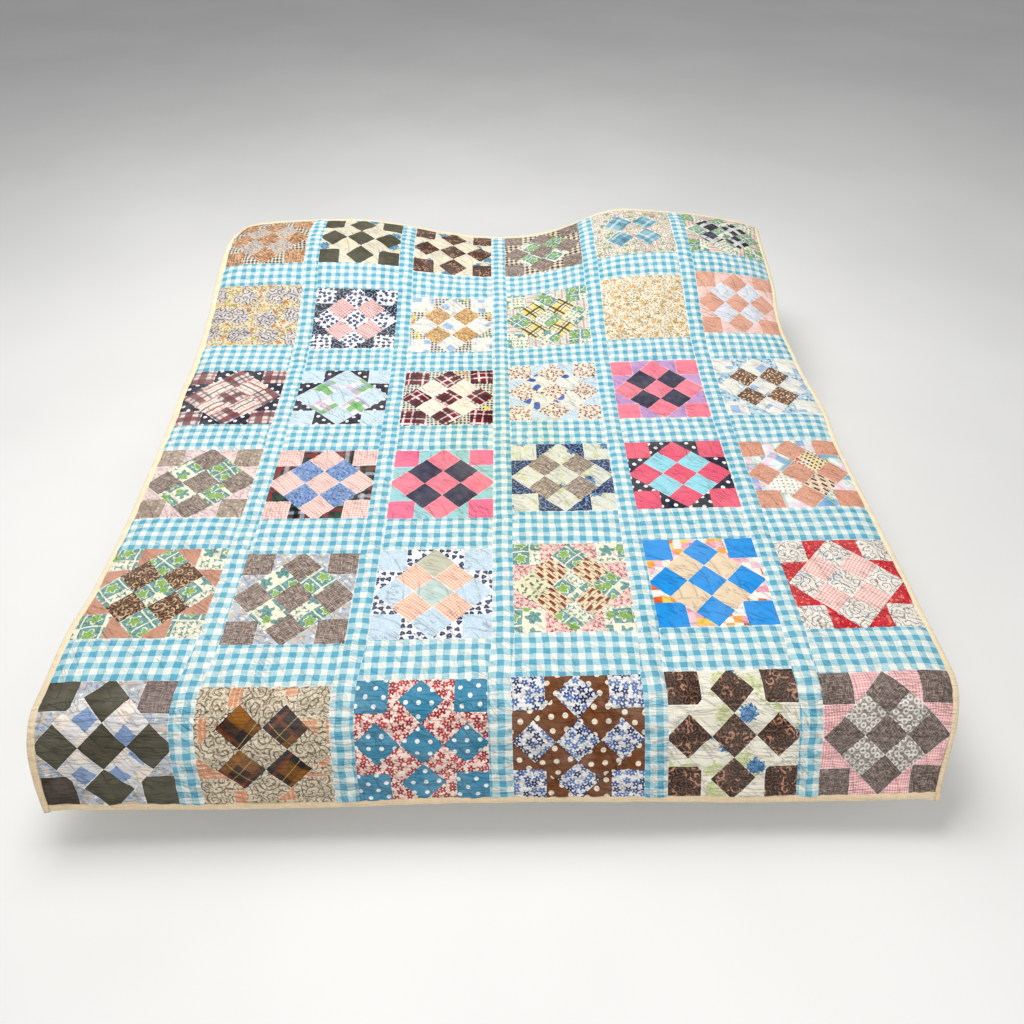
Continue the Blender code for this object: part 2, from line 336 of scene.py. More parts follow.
THREAD_HEIGHT = 0.00003


def bell(distance, reach_low, reach_high, power):
    """The exponent of a soft hill with a different reach on each side."""
    reach = np.where(distance < 0, reach_low, reach_high)
    return 0.5 * np.abs(distance / reach) ** power


def hill(name, x, y):
    """Height of the cloth over one pillow alone."""
    middle_x, middle_y, height, left, right, foot = HILLS[name]
    across = bell(x - middle_x, left, right, HILL_POWER)
    along = bell(y - middle_y, foot, HILL_BACK, HILL_POWER)
    return height * np.exp(-across - along)


def smooth_read(values, row, column):
    """Reads an array between its places with a smooth cubic. The places are fractional indexes."""
    row = np.clip(row, 1, values.shape[0] - 2.001)
    column = np.clip(column, 1, values.shape[1] - 2.001)
    total = 0
    shares = []
    for place in (row, column):
        t = place - np.floor(place)
        shares.append((
            ((-t + 2) * t - 1) * t / 2,
            ((3 * t - 5) * t * t + 2) / 2,
            ((-3 * t + 4) * t + 1) * t / 2,
            (t - 1) * t * t / 2,
        ))
    first_row, first_column = row.astype(int) - 1, column.astype(int) - 1
    for i, row_share in enumerate(shares[0]):
        for j, column_share in enumerate(shares[1]):
            share = row_share * column_share
            found = values[first_row + i, first_column + j]
            total = total + (share[..., None] if values.ndim == 3 else share) * found
    return total


def lumps(across, along, width, length, seed):
    """Soft random lumps from -1 to 1, of that width across and length along, in metres."""
    margin = 3
    low_across, low_along, span = -1.0, -1.0, 3.4
    shape = (int(span / length) + 2 * margin, int(span / width) + 2 * margin)
    values = np.random.default_rng(seed).uniform(-1, 1, shape)
    row = (along - low_along) / length + margin
    column = (across - low_across) / width + margin
    return smooth_read(values, row, column)


def grid(rows, columns):
    """A bmesh grid of that many points, which the caller then places."""
    builder = bmesh.new()
    bmesh.ops.create_grid(builder, x_segments=columns - 1, y_segments=rows - 1, size=1)
    builder.verts.ensure_lookup_table()
    return builder


def threads(loom, place):
    """The even bumps of a fine plain weave, from -1 to 1."""
    across, along = loom.parts(place)
    return loom.times(loom.wave(across, THREAD_PITCH), loom.wave(along, THREAD_PITCH))


def percale():
    """Fine plain white cotton, with a little painted grey shade in its creases."""
    loom = new_cloth("pillow_cotton", 0.82, 0.2)
    spot = loom.spot()
    creases = loom.cloud(spot, 0.045, 0.02, detail=3.0)
    soft = loom.cloud(spot, 0.12, detail=2.0)
    white = loom.mix(loom.ramp(soft, 0.3, 0.8), PILLOW_WHITE, PILLOW_WORN)
    # painted shade: the white is mixed towards grey along the creases
    colour = loom.mix(loom.ramp(creases, 0.62, 0.8, 0.0, 0.25), white, PILLOW_SHADE)
    height = loom.plus(loom.times(threads(loom, spot), THREAD_HEIGHT), loom.times(creases, PILLOW_CREASE))
    return loom.finish(colour, loom.bump(height))


def add_pillow(name, cloth, seed):
    """Its crown follows the cloth above it. The top and bottom are two sheets sewn round the edge."""
    s, t = np.meshgrid(np.linspace(-1, 1, PILLOW_CELLS[0] + 1), np.linspace(-1, 1, PILLOW_CELLS[1] + 1))
    # Cells are closer towards the seam, and the sides pull in between the corners.
    s, t = np.sin(s * math.pi / 2), np.sin(t * math.pi / 2)
    middle_x, middle_y = PILLOW_MIDDLE[name]
    x = middle_x + PILLOW_HALF[0] * s * (1 - PILLOW_PULL * (1 - t**2))
    y = middle_y + PILLOW_HALF[1] * t * (1 - PILLOW_PULL * (1 - s**2))
    crown = hill(name, x, y) - PILLOW_CLEAR
    seam = PILLOW_SEAM * crown
    full = ((1 - np.abs(s) ** 5) * (1 - np.abs(t) ** 5)) ** 0.5
    # Creases run in from the seam and die out on the crown.
    near_seam = np.clip(1.4 * np.maximum(np.abs(s), np.abs(t)) ** 4, 0, 1) * full
    dip = PILLOW_CREASE * near_seam * np.abs(lumps(x, y, 0.03, 0.03, seed))
    dip = dip + PILLOW_DENT * full * np.abs(lumps(x, y, 0.09, 0.07, seed + 1))
    top = seam + (crown - seam) * full - dip
    bottom = seam * (1 - np.minimum(1.0, 1.6 * full))
    level = MATTRESS_TOP + REST_GAP
    builder = grid(*s.shape)
    upper_verts = builder.verts[:]
    lower = bmesh.ops.duplicate(builder, geom=upper_verts + builder.edges[:] + builder.faces[:])["geom"]
    lower_verts = [item for item in lower if isinstance(item, bmesh.types.BMVert)]
    lower_faces = [item for item in lower if isinstance(item, bmesh.types.BMFace)]
    for verts, height in ((upper_verts, top), (lower_verts, bottom)):
        points = np.stack([x - ORIGIN[0], y - ORIGIN[1], height + level], -1).reshape(-1, 3)
        for vert, point in zip(verts, points):
            vert.co = point
    bmesh.ops.reverse_faces(builder, faces=lower_faces)
    bmesh.ops.remove_doubles(builder, verts=builder.verts, dist=0.00005)
    pillow = add_piece("pillow_case_" + name, builder, cloth)
    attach(pillow, "root")
    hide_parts("pillow_" + name)
    return pillow


pillow_cotton = percale()
pillows = [add_pillow("left", pillow_cotton, 11), add_pillow("right", pillow_cotton, 21)]

# ---------------------------------------------------------------- the quilt's backing and wadding
# A sheet of plain cream cotton with thin wadding on it, cut to the size of the finished quilt. The pieced
# top lies on it. Everything on the quilt is placed twice: flat, as it was pieced, and as it is draped.
BLOCK = 0.2286                    # a nine-inch block
LONG_SASH = 0.0416                # the unbroken strips between the columns
CROSS_SASH = 0.0968               # the strips between the blocks of a column
BINDING = 0.0127                  # half an inch on the face
COLUMNS = 6
ROWS = 6
HALF_WIDTH = (COLUMNS * BLOCK + (COLUMNS - 1) * LONG_SASH) / 2 + BINDING
LENGTH = ROWS * BLOCK + (ROWS - 1) * CROSS_SASH + 2 * BINDING
BACKING_THICK = 0.0012
BACKING_CREAM = (238, 230, 210)
BACKING_SOIL = (228, 216, 190)
BACKING_SLUB = (205, 196, 174)
BACKING_SLUB_HEIGHT = 0.0003
# How far each row's blocks were sewn off the even layout, in millimetres, from the foot up:
# (sway of the whole row to the right, then the six blocks' drift towards the head)
ROW_DRIFT = {
    "foot row": (-6, (5, -10, 0, 2, 6, -6)),
    "second row": (2, (2, -15, -8, 3, 8, -5)),
    "third row": (4, (-2, -8, -12, 5, 6, -1)),
    "fourth row": (3, (-2, -4, -12, 3, 2, 6)),
    "fifth row": (2, (12, -2, -22, -10, -8, 10)),
    "head row": (0, (-3, -2, -12, -11, -12, 0)),
}
SADDLE = (0.055, 0.42)            # height and reach of the cloth between the two pillows
PEAK = (0.345, 0.85, 0.018, 0.11)   # x, y, height and reach of the plump corner at the head
ROLL_FROM = -0.79                 # where the cloth starts to bend over the foot edge
HANG = {                          # across, length past that line, steepest angle of the hang
    "left": (-0.80, 0.209, math.radians(69)),
    "middle": (0.0, 0.229, math.radians(65)),
    "right": (0.80, 0.234, math.radians(55)),
}
BEND_RADIUS = 0.062
HEM_WAVE = (0.007, 1.08, -0.52)   # height, pitch and first dip of the hem's slow wave
SIDE_DROOP = (0.73, 0.07, 0.008)  # the sides sink a little past the mattress: start, run, drop
FOOT_SPREAD = 0.024               # the sides lie a little farther out at the foot and the head
# The side edges do not lie straight: (place along the flat cloth, how far out, reach), in metres.
EDGE_SWAY = {
    "left": ((0.10, 0.008, 0.12), (0.34, 0.012, 0.10), (1.28, 0.024, 0.42), (1.90, -0.026, 0.07)),
    "right": (
        (0.0, -0.036, 0.13), (0.60, 0.007, 0.30), (1.02, 0.014, 0.12), (1.38, -0.013, 0.11),
        (1.90, 0.020, 0.13),
    ),
}
SWAY_FROM = 0.42                  # nearer the middle than this, the cloth lies straight
STEPS = 120                       # steps that measure the cloth along its length
PROBE = 0.001                     # how far to each side its slope is measured
NET_STEP = 0.01                   # the drape is worked out on a net this fine and read between
BACKING_CELLS = (108, 126)


def through_three(table, across, column):
    """The parabola through a three-row table's values."""
    points = [(row[0], row[column]) for row in table.values()]
    total = 0.0
    for here, value in points:
        share = value
        for there, _ in points:
            if there != here:
                share = share * (across - there) / (here - there)
        total = total + share
    return total


def rise(x, y):
    """Height of the cloth over the mattress top."""
    height, reach = SADDLE
    left, right = HILLS["left"], HILLS["right"]
    middle_y = (left[1] + right[1]) / 2
    foot_reach = (left[5] + right[5]) / 2
    saddle = height * np.exp(-((x / reach) ** 2) - bell(y - middle_y, foot_reach, HILL_BACK, HILL_POWER))
    peak_x, peak_y, peak_height, peak_reach = PEAK
    peak = peak_height * np.exp(-((x - peak_x) ** 2 + (y - peak_y) ** 2) / peak_reach**2)
    return np.sqrt(hill("left", x, y) ** 2 + hill("right", x, y) ** 2 + saddle**2) + peak


def slope(x, y):
    """How steeply the cloth climbs towards the head."""
    return (rise(x, y + PROBE) - rise(x, y - PROBE)) / (2 * PROBE)


def edge_sway(across, along):
    """How far to the right of its straight line a place of the cloth lies."""
    share = np.clip((np.abs(across) - SWAY_FROM) / (HALF_WIDTH - SWAY_FROM), 0, 1) ** 2
    total = np.zeros(across.shape)
    for name, side in (("left", -1), ("right", 1)):
        for middle, out, reach in EDGE_SWAY[name]:
            wave = side * out * np.exp(-(((along - middle) / reach) ** 2))
            total = total + np.where(np.sign(across) == side, share * wave, 0)
    return total


def drape(across, along):
    """Where points of the flat quilt come to lie: the underside of the cloth, as an array of x, y, z."""
    bend_at = through_three(HANG, across, 1)
    steepest = through_three(HANG, across, 2)

    # Up the bed the cloth keeps its length while it climbs the hills.
    step = np.maximum(along - bend_at, 0) / STEPS
    y = np.full(across.shape, ROLL_FROM)
    for _ in range(STEPS):
        half_way = y + 0.5 * step / np.sqrt(1 + slope(across, y) ** 2)
        y = y + step / np.sqrt(1 + slope(across, half_way) ** 2)
    z = rise(across, y)

    # Over the foot edge it turns down to its steepest angle and hangs there.
    past = np.maximum(bend_at - along, 0)
    step = past / STEPS
    for number in range(STEPS):
        angle = steepest * np.tanh((number + 0.5) * step / BEND_RADIUS / steepest)
        y = y - np.cos(angle) * step
        z = z - np.sin(angle) * step
    wave, pitch, dip = HEM_WAVE
    z = z - wave * (past / bend_at) ** 2 * np.cos(2 * math.pi * (across - dip) / pitch)

    start, run, drop = SIDE_DROOP
    z = z - drop * (np.maximum(np.abs(across) - start, 0) / run) ** 2
    x = across * (1 + FOOT_SPREAD * y**2) + edge_sway(across, along)
    return np.stack([x - ORIGIN[0], y - ORIGIN[1], z + MATTRESS_TOP + REST_GAP], axis=-1)


net_across = np.arange(-HALF_WIDTH - 3 * NET_STEP, HALF_WIDTH + 4 * NET_STEP, NET_STEP)
net_along = np.arange(-3 * NET_STEP, LENGTH + 4 * NET_STEP, NET_STEP)
net_points = drape(*np.meshgrid(net_across, net_along))
net_normals = np.cross(np.gradient(net_points, axis=1), np.gradient(net_points, axis=0))
net_normals /= np.linalg.norm(net_normals, axis=-1, keepdims=True)


def lay(across, along, height):
    """Points at a height over the draped quilt's underside, square to the cloth."""
    row = (along - net_along[0]) / NET_STEP
    column = (across - net_across[0]) / NET_STEP
    return smooth_read(net_points, row, column) + smooth_read(net_normals, row, column) * height[..., None]


def place_verts(piece, points):
    piece.data.vertices.foreach_set("co", np.asarray(points, np.float32).ravel())
    piece.data.update()


def read_all(items, setting):
    """One whole number of each of a mesh's parts."""
    found = np.empty(len(items), np.int32)
    items.foreach_get(setting, found)
    return found


def add_map(piece, name, pairs):
    """Keeps a flat place in metres for each corner of each face, as a named map that the cloths read."""
    layer = piece.data.uv_layers.new(name=name)
    layer.data.foreach_set("uv", pairs.astype(np.float32).ravel())


def map_flat(piece, name, across, along):
    corners = read_all(piece.data.loops, "vertex_index")
    add_map(piece, name, np.stack([across.ravel()[corners], along.ravel()[corners]], -1))


def thicken(piece, thickness, offset):
    """Gives a sheet its thickness: offset 1 is upwards from the sheet and -1 downwards."""
    edge_of_corner = read_all(piece.data.loops, "edge_index")
    rim = np.bincount(edge_of_corner, minlength=len(piece.data.edges)) == 1
    sharp = piece.data.attributes.new("sharp_edge", "BOOLEAN", "EDGE")
    sharp.data.foreach_set("value", rim)
    solidify = piece.modifiers.new("thickness", "SOLIDIFY")
    solidify.thickness = thickness
    solidify.offset = offset
    solidify.use_rim = True


def backing_cotton():
    loom = new_cloth("backing_cotton", 0.9, 0.15)
    flat = loom.add("UVMap", uv_map="flat")
    slubs = loom.cloud(flat, 0.0012, 0.03, detail=2.0)
    soil = loom.cloud(flat, 0.3, detail=3.0)
    cream = loom.mix(loom.ramp(soil, 0.35, 0.75), BACKING_CREAM, BACKING_SOIL)
    colour = loom.mix(loom.ramp(slubs, 0.3, 0.7, 0.0, 0.2), cream, BACKING_SLUB)
    return loom.finish(colour, loom.bump(loom.times(slubs, BACKING_SLUB_HEIGHT)))


def add_backing():
    across, along = np.meshgrid(
        np.linspace(-HALF_WIDTH, HALF_WIDTH, BACKING_CELLS[0] + 1),
        np.linspace(0, LENGTH, BACKING_CELLS[1] + 1),
    )
    backing = add_piece("quilt_backing", grid(*across.shape), backing_cotton())
    place_verts(backing, lay(across, along, np.zeros(across.shape)))
    map_flat(backing, "flat", across, along)
    thicken(backing, BACKING_THICK, 1)
    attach(backing, "root")
    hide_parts("quilt")
    return backing


backing = add_backing()

# ---------------------------------------------------------------- the long gingham sashes
# Five unbroken strips of aqua and white gingham, woven in one-inch repeats, which run from the foot to the
# head between the columns of blocks. Hand quilting goes through them in fans, and washing has puckered it.
SEAM_HEIGHT = 0.0046              # the quilt's face over its underside, along a seam
PUFF = 0.0030                     # how much higher it stands away from the seams
PUFF_REACH = 0.014                # how fast it gets there
QUILTING_DEPTH = 0.0013           # the valley along a line of quilting
QUILTING_WIDTH = 0.0045
UNEVEN = (                        # soft lumps of the face: height, width across, length along, seed
    (0.0007, 0.075, 0.06, 1),
    (0.0004, 0.024, 0.018, 2),
)
WRINKLES = (0.0015, 0.05, 0.014, 3)   # the same of the level wrinkles in the hanging foot
WRINKLES_FROM = 0.26              # they start this far up the quilt
WRINKLES_FADE = 0.12              # and are full this much nearer the foot
FAN = 0.21                        # one fan of quilting
FAN_SHIFT = 0.37                  # each row of fans starts this share of a fan further on
FAN_LINE = 0.030                  # between the arcs of a fan
FAN_WANDER = 0.006                # the quilter's hand wanders this far
FAN_WAVES = ((17.0, 1.0), (19.0, 2.0))   # across and along: radians in a metre, and where they start
STITCH_GROOVE = 0.0026            # half the width of the fine groove along a line of stitches
TOP_THICK = 0.0008                # the pieced cotton
CREASE_GAP = 0.0090               # between the small creases of washing
CREASE_LENGTH = 0.055
CREASE_SLANT = math.radians(38)   # they run down to the right
CREASE_EDGE = 0.034               # how sharply they start
CREASE_SHADE = 0.47               # how dark they are
WRINKLE_SHADE = 0.50              # and the level wrinkles of the hanging foot
SHADE_TONE = (124, 121, 124)
FADED_TONE = (255, 250, 235)
# painted along the seams: a highlight on light cottons that is partly wear, and shade on dark ones
SEAM_HIGHLIGHT_AND_WEAR = (252, 250, 244)
SEAM_DITCH_SHADE = (25, 25, 29)
SWELL_HEIGHT = 0.0030             # between the creases
WRINKLE_HEIGHT = 0.009
CREASE_DEPTH = 0.0007
GROOVE_DEPTH = 0.0010
SLUB_HEIGHT = 0.00012
FOLD_DEPTH = 0.0005
NO_SEAM = 1.0                     # what a piece with no seams or creases in it is marked with
SEAM_FOLD = 0.0015                # the fold of a patch's edge along a seam
STAIN_MIDDLE = (0.02, 0.93, 0)    # a faint old stain in the middle of the quilt
STAIN_REACH = (4.0, 2.2, 1)
STAIN_TONE = (255, 243, 196)
SASH_CELL = 0.0048
LONG_TURN = 0.004                 # how far off its grain a long strip was cut, in radians
CROSS_TURN = 0.010
GINGHAM_REPEAT = 0.0254
GINGHAM_WHITE = (231, 232, 223)
GINGHAM_LIGHT = (156, 202, 211)
GINGHAM_FULL = (90, 165, 190)


def quilting(across, along):
    """How far a place is from the nearest quilted arc, in metres."""
    (turns_across, start_across), (turns_along, start_along) = FAN_WAVES
    wander_across = across + FAN_WANDER * np.sin(turns_across * along + start_across)
    wander_along = along + FAN_WANDER * np.sin(turns_along * across + start_along)
    row = np.floor(wander_along / FAN)
    x = np.mod(wander_across / FAN + FAN_SHIFT * row, 1)
    y = np.mod(wander_along / FAN, 1)
    turn = np.mod(np.hypot(x, y) * FAN / FAN_LINE, 1)
    return (0.5 - np.abs(turn - 0.5)) * FAN_LINE


def relief(across, along, seam):
    """Height of the quilt's face over its underside, given the distance to the nearest seam."""
    height = SEAM_HEIGHT + PUFF * (1 - np.exp(-seam / PUFF_REACH))
    height = height - QUILTING_DEPTH * np.exp(-((quilting(across, along) / QUILTING_WIDTH) ** 2))
    hanging = np.clip((WRINKLES_FROM - along) / WRINKLES_FADE, 0, 1)
    for rise_by, *sizes in UNEVEN:
        height = height + rise_by * lumps(across, along, *sizes)
    return height + WRINKLES[0] * hanging * lumps(across, along, *WRINKLES[1:])


def fan_radius(loom, place):
    """How far a place is from the corner of its fan of quilting, in fans, as in quilting()."""
    across, along = loom.parts(place)
    wandered = []
    for way, other, (turns, start) in zip((across, along), (along, across), FAN_WAVES):
        wave = loom.sum("SINE", loom.sum("MULTIPLY_ADD", other, turns, start))
        wandered.append(loom.sum("DIVIDE", loom.sum("MULTIPLY_ADD", wave, FAN_WANDER, way), FAN))
    shifted = loom.sum("MULTIPLY_ADD", loom.sum("FLOOR", wandered[1]), FAN_SHIFT, wandered[0])
    in_fan = loom.place(loom.sum("FRACT", shifted), loom.sum("FRACT", wandered[1]))
    return loom.arrow("LENGTH", in_fan, out=1)


def washed_cotton_and_shade():
    """The finish that all the top's cottons share: threads, slubs, fading, quilting lines and creases, with
    painted shade in the creases, stitch lines and seam ditches and a painted highlight on the seams' folds.
    """
    tree = bpy.data.node_groups.new("washed_cotton_and_shade", "ShaderNodeTree")
    tree.interface.new_socket("Colour", in_out="INPUT", socket_type="NodeSocketColor")
    # The second input sets how dark the painted shade in the creases and stitch lines is.
    tree.interface.new_socket("Creases", in_out="INPUT", socket_type="NodeSocketFloat")
    tree.interface.new_socket("Colour", in_out="OUTPUT", socket_type="NodeSocketColor")
    tree.interface.new_socket("Normal", in_out="OUTPUT", socket_type="NodeSocketVector")
    loom = Loom(tree)
    given, shade_in_creases = tree.nodes.new("NodeGroupInput").outputs[:2]
    result = tree.nodes.new("NodeGroupOutput")
    flat = loom.add("UVMap", uv_map="flat")
    grain = loom.add("UVMap", uv_map="grain")
    along = loom.parts(flat)[1]

    seam = loom.add("Attribute", attribute_name="seam", attribute_type="GEOMETRY", out=2)
    quilted = loom.below(seam, 0.5 * NO_SEAM)

    # The quilting arcs are pulled in more in some places than in others.
    turn = loom.sum("FRACT", loom.times(fan_radius(loom, flat), FAN / FAN_LINE))
    off_line = loom.minus(0.5, loom.sum("ABSOLUTE", loom.minus(turn, 0.5)))
    pull = loom.ramp(loom.cloud(flat, 0.03), 0.38, 0.6, 0.3, 1.0)
    groove = loom.ramp(loom.times(off_line, FAN_LINE), 0.0, STITCH_GROOVE, 1.0, 0.0)
    groove = loom.times(groove, pull, quilted)

    # Creases run slantwise over the quilt, wander, and come and go.
    drawn = loom.bend(loom.bend(flat, 0.20, 0.10), 0.030, 0.008)
    drawn = loom.add("VectorRotate", drawn, None, None, CREASE_SLANT, rotation_type="Z_AXIS")
    swell = loom.cloud(drawn, CREASE_LENGTH, CREASE_GAP, detail=1.5)
    from_crease = loom.sum("ABSOLUTE", loom.minus(swell, 0.47))
    come_and_go = loom.ramp(loom.cloud(flat, 0.05, detail=2.0), 0.42, 0.58)
    crease = loom.times(loom.ramp(from_crease, 0.0, CREASE_EDGE, 1.0, 0.0), come_and_go)
    level_swell = loom.cloud(loom.bend(flat, 0.04, 0.008), 0.10, 0.011, detail=2.0)
    hanging = loom.ramp(along, 0.17, 0.31, 1.0, 0.0)
    from_level = loom.sum("ABSOLUTE", loom.minus(level_swell, 0.45))
    level_crease = loom.times(loom.ramp(from_level, 0.0, CREASE_EDGE, 1.0, 0.0), hanging)
    crease = loom.times(loom.most(crease, level_crease), quilted)

    # Threads and slubs follow each patch's own grain.
    warp_slub = loom.cloud(grain, 0.0011, 0.022, detail=2.0)
    weft_slub = loom.cloud(grain, 0.024, 0.0012, detail=2.0)
    slubs = loom.plus(warp_slub, weft_slub)
    fading = loom.cloud(flat, 0.12, detail=3.0)
    fold = loom.ramp(seam, 0.0, SEAM_FOLD, 1.0, 0.0)

    colour = loom.mix(loom.ramp(slubs, 0.75, 1.25, 0.0, 0.16), given, (0, 0, 0), "MULTIPLY")
    colour = loom.mix(loom.ramp(fading, 0.3, 0.75, 0.0, 0.06), colour, FADED_TONE)
    # Along a seam the light cottons are painted paler, a painted highlight on the folded edge that is partly
    # wear, and the dark ones are darkened with painted shade in the seam's ditch.
    brightness = loom.add("RGBToBW", given)
    pale = loom.times(fold, loom.ramp(brightness, 0.22, 0.45, 0.0, 0.5))
    colour = loom.mix(pale, colour, SEAM_HIGHLIGHT_AND_WEAR)
    dark = loom.times(fold, loom.ramp(brightness, 0.10, 0.30, 0.45, 0.0))
    colour = loom.mix(dark, colour, SEAM_DITCH_SHADE)
    # Light hardly reaches into the creases and the lines of stitches.
    depth = loom.most(loom.times(shade_in_creases, CREASE_SHADE), loom.times(hanging, WRINKLE_SHADE))
    shadow = loom.times(crease, depth)
    in_groove = loom.times(groove, loom.sum("MULTIPLY_ADD", shade_in_creases, 0.22, 0.10))
    shadow = loom.most(shadow, in_groove)
    colour = loom.mix(shadow, colour, SHADE_TONE, "MULTIPLY")
    stain = loom.arrow("MULTIPLY", loom.arrow("SUBTRACT", flat, STAIN_MIDDLE), STAIN_REACH)
    stain = loom.ramp(loom.arrow("LENGTH", stain, out=1), 0.3, 1.1, 0.5, 0.0)
    stain = loom.times(stain, loom.cloud(flat, 0.07, 0.3, detail=2.0))
    colour = loom.mix(stain, colour, STAIN_TONE, "MULTIPLY")
    loom.feed(result.inputs[0], colour)

    height = loom.times(groove, -GROOVE_DEPTH)
    for shape, rise_by in (
        (swell, SWELL_HEIGHT), (crease, -CREASE_DEPTH),
        (loom.times(level_swell, hanging), WRINKLE_HEIGHT),
        (slubs, SLUB_HEIGHT), (threads(loom, grain), THREAD_HEIGHT), (fold, -FOLD_DEPTH),
    ):
        height = loom.sum("MULTIPLY_ADD", shape, rise_by, height)
    loom.feed(result.inputs[1], loom.bump(height))
    return tree


cotton_finish_and_shade = washed_cotton_and_shade()


def top_cotton(name, pattern, shade_in_creases=1.0):
    """A cotton of the quilt's top. The pattern gets the loom and a place in metres, and returns a colour.
    shade_in_creases sets how dark the painted shade in its creases and stitch lines is.
    """
    loom = new_cloth(name, 0.9, 0.015)
    finish = loom.tree.nodes.new("ShaderNodeGroup")
    finish.node_tree = cotton_finish_and_shade
    finish.inputs[1].default_value = shade_in_creases
    loom.feed(finish.inputs[0], pattern(loom, loom.add("UVMap", uv_map="grain")))
    return loom.finish(*finish.outputs)


def cloth_print(draw):
    """Lets a print be called with its own sizes and dyes alone. The loom and the place come later."""
    def chosen(*sizes, **more):
        return lambda loom, place: draw(loom, place, *sizes, **more)
    return chosen


@cloth_print
def gingham(loom, place, ground, light, full, repeat):
    """Stripes of dyed and undyed thread crossing: full colour where two dyed stripes cross."""
    across, along = loom.parts(loom.bend(loom.bend(place, 0.05, 0.009), 0.1 * repeat, 0.08 * repeat))
    warp = loom.band(across, repeat, 0.5)
    weft = loom.band(along, repeat, 0.5)
    slubby = loom.ramp(loom.cloud(place, 0.0014, 0.010), 0.40, 0.64, 0.0, 0.3)
    half = loom.mix(slubby, light, ground)
    one = loom.mix(loom.most(warp, weft), ground, half)
    return loom.mix(loom.times(warp, weft), one, full)


aqua_check = gingham(GINGHAM_WHITE, GINGHAM_LIGHT, GINGHAM_FULL, GINGHAM_REPEAT)
# the gingham gets only faint painted shade in its creases and stitch lines
aqua_gingham = top_cotton("aqua_gingham", aqua_check, shade_in_creases=0.18)


def seams_across(row):
    """The twelve block edges of a row, from left to right. The outermost ones meet the binding."""
    sway = list(ROW_DRIFT.values())[row][0] / 1000
    edges = []
    for column in range(COLUMNS):
        left = BINDING - HALF_WIDTH + column * (BLOCK + LONG_SASH)
        edges += [left + sway, left + sway + BLOCK]
    edges[0] = BINDING - HALF_WIDTH
    edges[-1] = HALF_WIDTH - BINDING
    return edges


def seams_along(column):
    """The twelve block edges of a column, from the foot up. The outermost ones meet the binding."""
    edges = []
    for row, (_, drifts) in enumerate(ROW_DRIFT.values()):
        foot = BINDING + row * (BLOCK + CROSS_SASH) + drifts[column] / 1000
        edges += [foot, foot + BLOCK]
    edges[0] = BINDING
    edges[-1] = LENGTH - BINDING
    return edges


# The corners of all blocks in the flat quilt, as two 12 by 12 arrays: along by across.
corner_across = np.array([seams_across(line // 2) for line in range(2 * ROWS)])
corner_along = np.array([seams_along(line // 2) for line in range(2 * COLUMNS)]).T


def in_cell(row, column, across, along):
    """Flat places for shares 0 to 1 across and along one cell between the seams."""
    found = []
    for corners in (corner_across, corner_along):
        foot = corners[row, column] * (1 - across) + corners[row, column + 1] * across
        head = corners[row + 1, column] * (1 - across) + corners[row + 1, column + 1] * across
        found.append(foot * (1 - along) + head * along)
    return found


def mark_seam(piece, seam):
    """Keeps each point's distance to its nearest seam, for the cotton's finish."""
    layer = piece.data.attributes.new("seam", "FLOAT", "POINT")
    layer.data.foreach_set("value", seam.astype(np.float32).ravel())


def sew_on(piece, across, along, seam):
    """Lays a flat piece of the top on the draped quilt and gives it its maps and thickness."""
    place_verts(piece, lay(across, along, relief(across, along, seam)))
    map_flat(piece, "flat", across, along)
    mark_seam(piece, seam)
    thicken(piece, TOP_THICK, -1)
    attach(piece, "root")
    return piece


def turned(across, along, angle, shift):
    """A flat place turned by an angle and moved, so that each piece has its own cut of the cloth."""
    cos, sin = math.cos(angle), math.sin(angle)
    return across * cos - along * sin + shift[0], across * sin + along * cos + shift[1]


chance = np.random.default_rng(62)


def sew_sash(name, slant, across, along, seam):
    """Cuts a strip of the gingham about as far off its grain as the slant, and sews it on."""
    sash = add_piece(name, grid(*across.shape), aqua_gingham)
    map_flat(sash, "grain", *turned(across, along, slant * chance.normal(), chance.uniform(0, 1, 2)))
    return sew_on(sash, across, along, seam)


def add_long_sash(number):
    shares = np.linspace(0, 1, round(LONG_SASH / SASH_CELL) + 1)
    rows_across, rows_along = [], []
    last = 2 * ROWS - 2
    for row in range(last + 1):
        length = BLOCK if row % 2 == 0 else CROSS_SASH
        steps = round(length / SASH_CELL)
        here = np.linspace(0, 1, steps + 1)[: None if row == last else -1]
        found = in_cell(row, 2 * number + 1, *np.meshgrid(shares, here))
        rows_across.append(found[0])
        rows_along.append(found[1])
    across, along = np.concatenate(rows_across), np.concatenate(rows_along)
    seam = np.broadcast_to((0.5 - np.abs(shares - 0.5)) * LONG_SASH, across.shape)
    return sew_sash(f"sash_long_{number + 1}", LONG_TURN, across, along, seam)


top_pieces = [add_long_sash(number) for number in range(COLUMNS - 1)]

# ---------------------------------------------------------------- the short gingham sashes
# Thirty strips of the same gingham, one over each block but those of the head row. Each was cut by itself,
# so its checks do not meet those of its neighbours.


def add_cross_sash(row, column):
    shares_across = np.linspace(0, 1, round(BLOCK / SASH_CELL) + 1)
    shares_along = np.linspace(0, 1, round(CROSS_SASH / SASH_CELL) + 1)
    share_across, share_along = np.meshgrid(shares_across, shares_along)
    across, along = in_cell(2 * row + 1, 2 * column, share_across, share_along)
    seam = np.minimum(
        (0.5 - np.abs(share_across - 0.5)) * BLOCK, (0.5 - np.abs(share_along - 0.5)) * CROSS_SASH
    )
    return sew_sash(f"sash_cross_{row + 1}_{column + 1}", CROSS_TURN, across, along, seam)


for sash_row in range(ROWS - 1):
    top_pieces += [add_cross_sash(sash_row, column) for column in range(COLUMNS)]

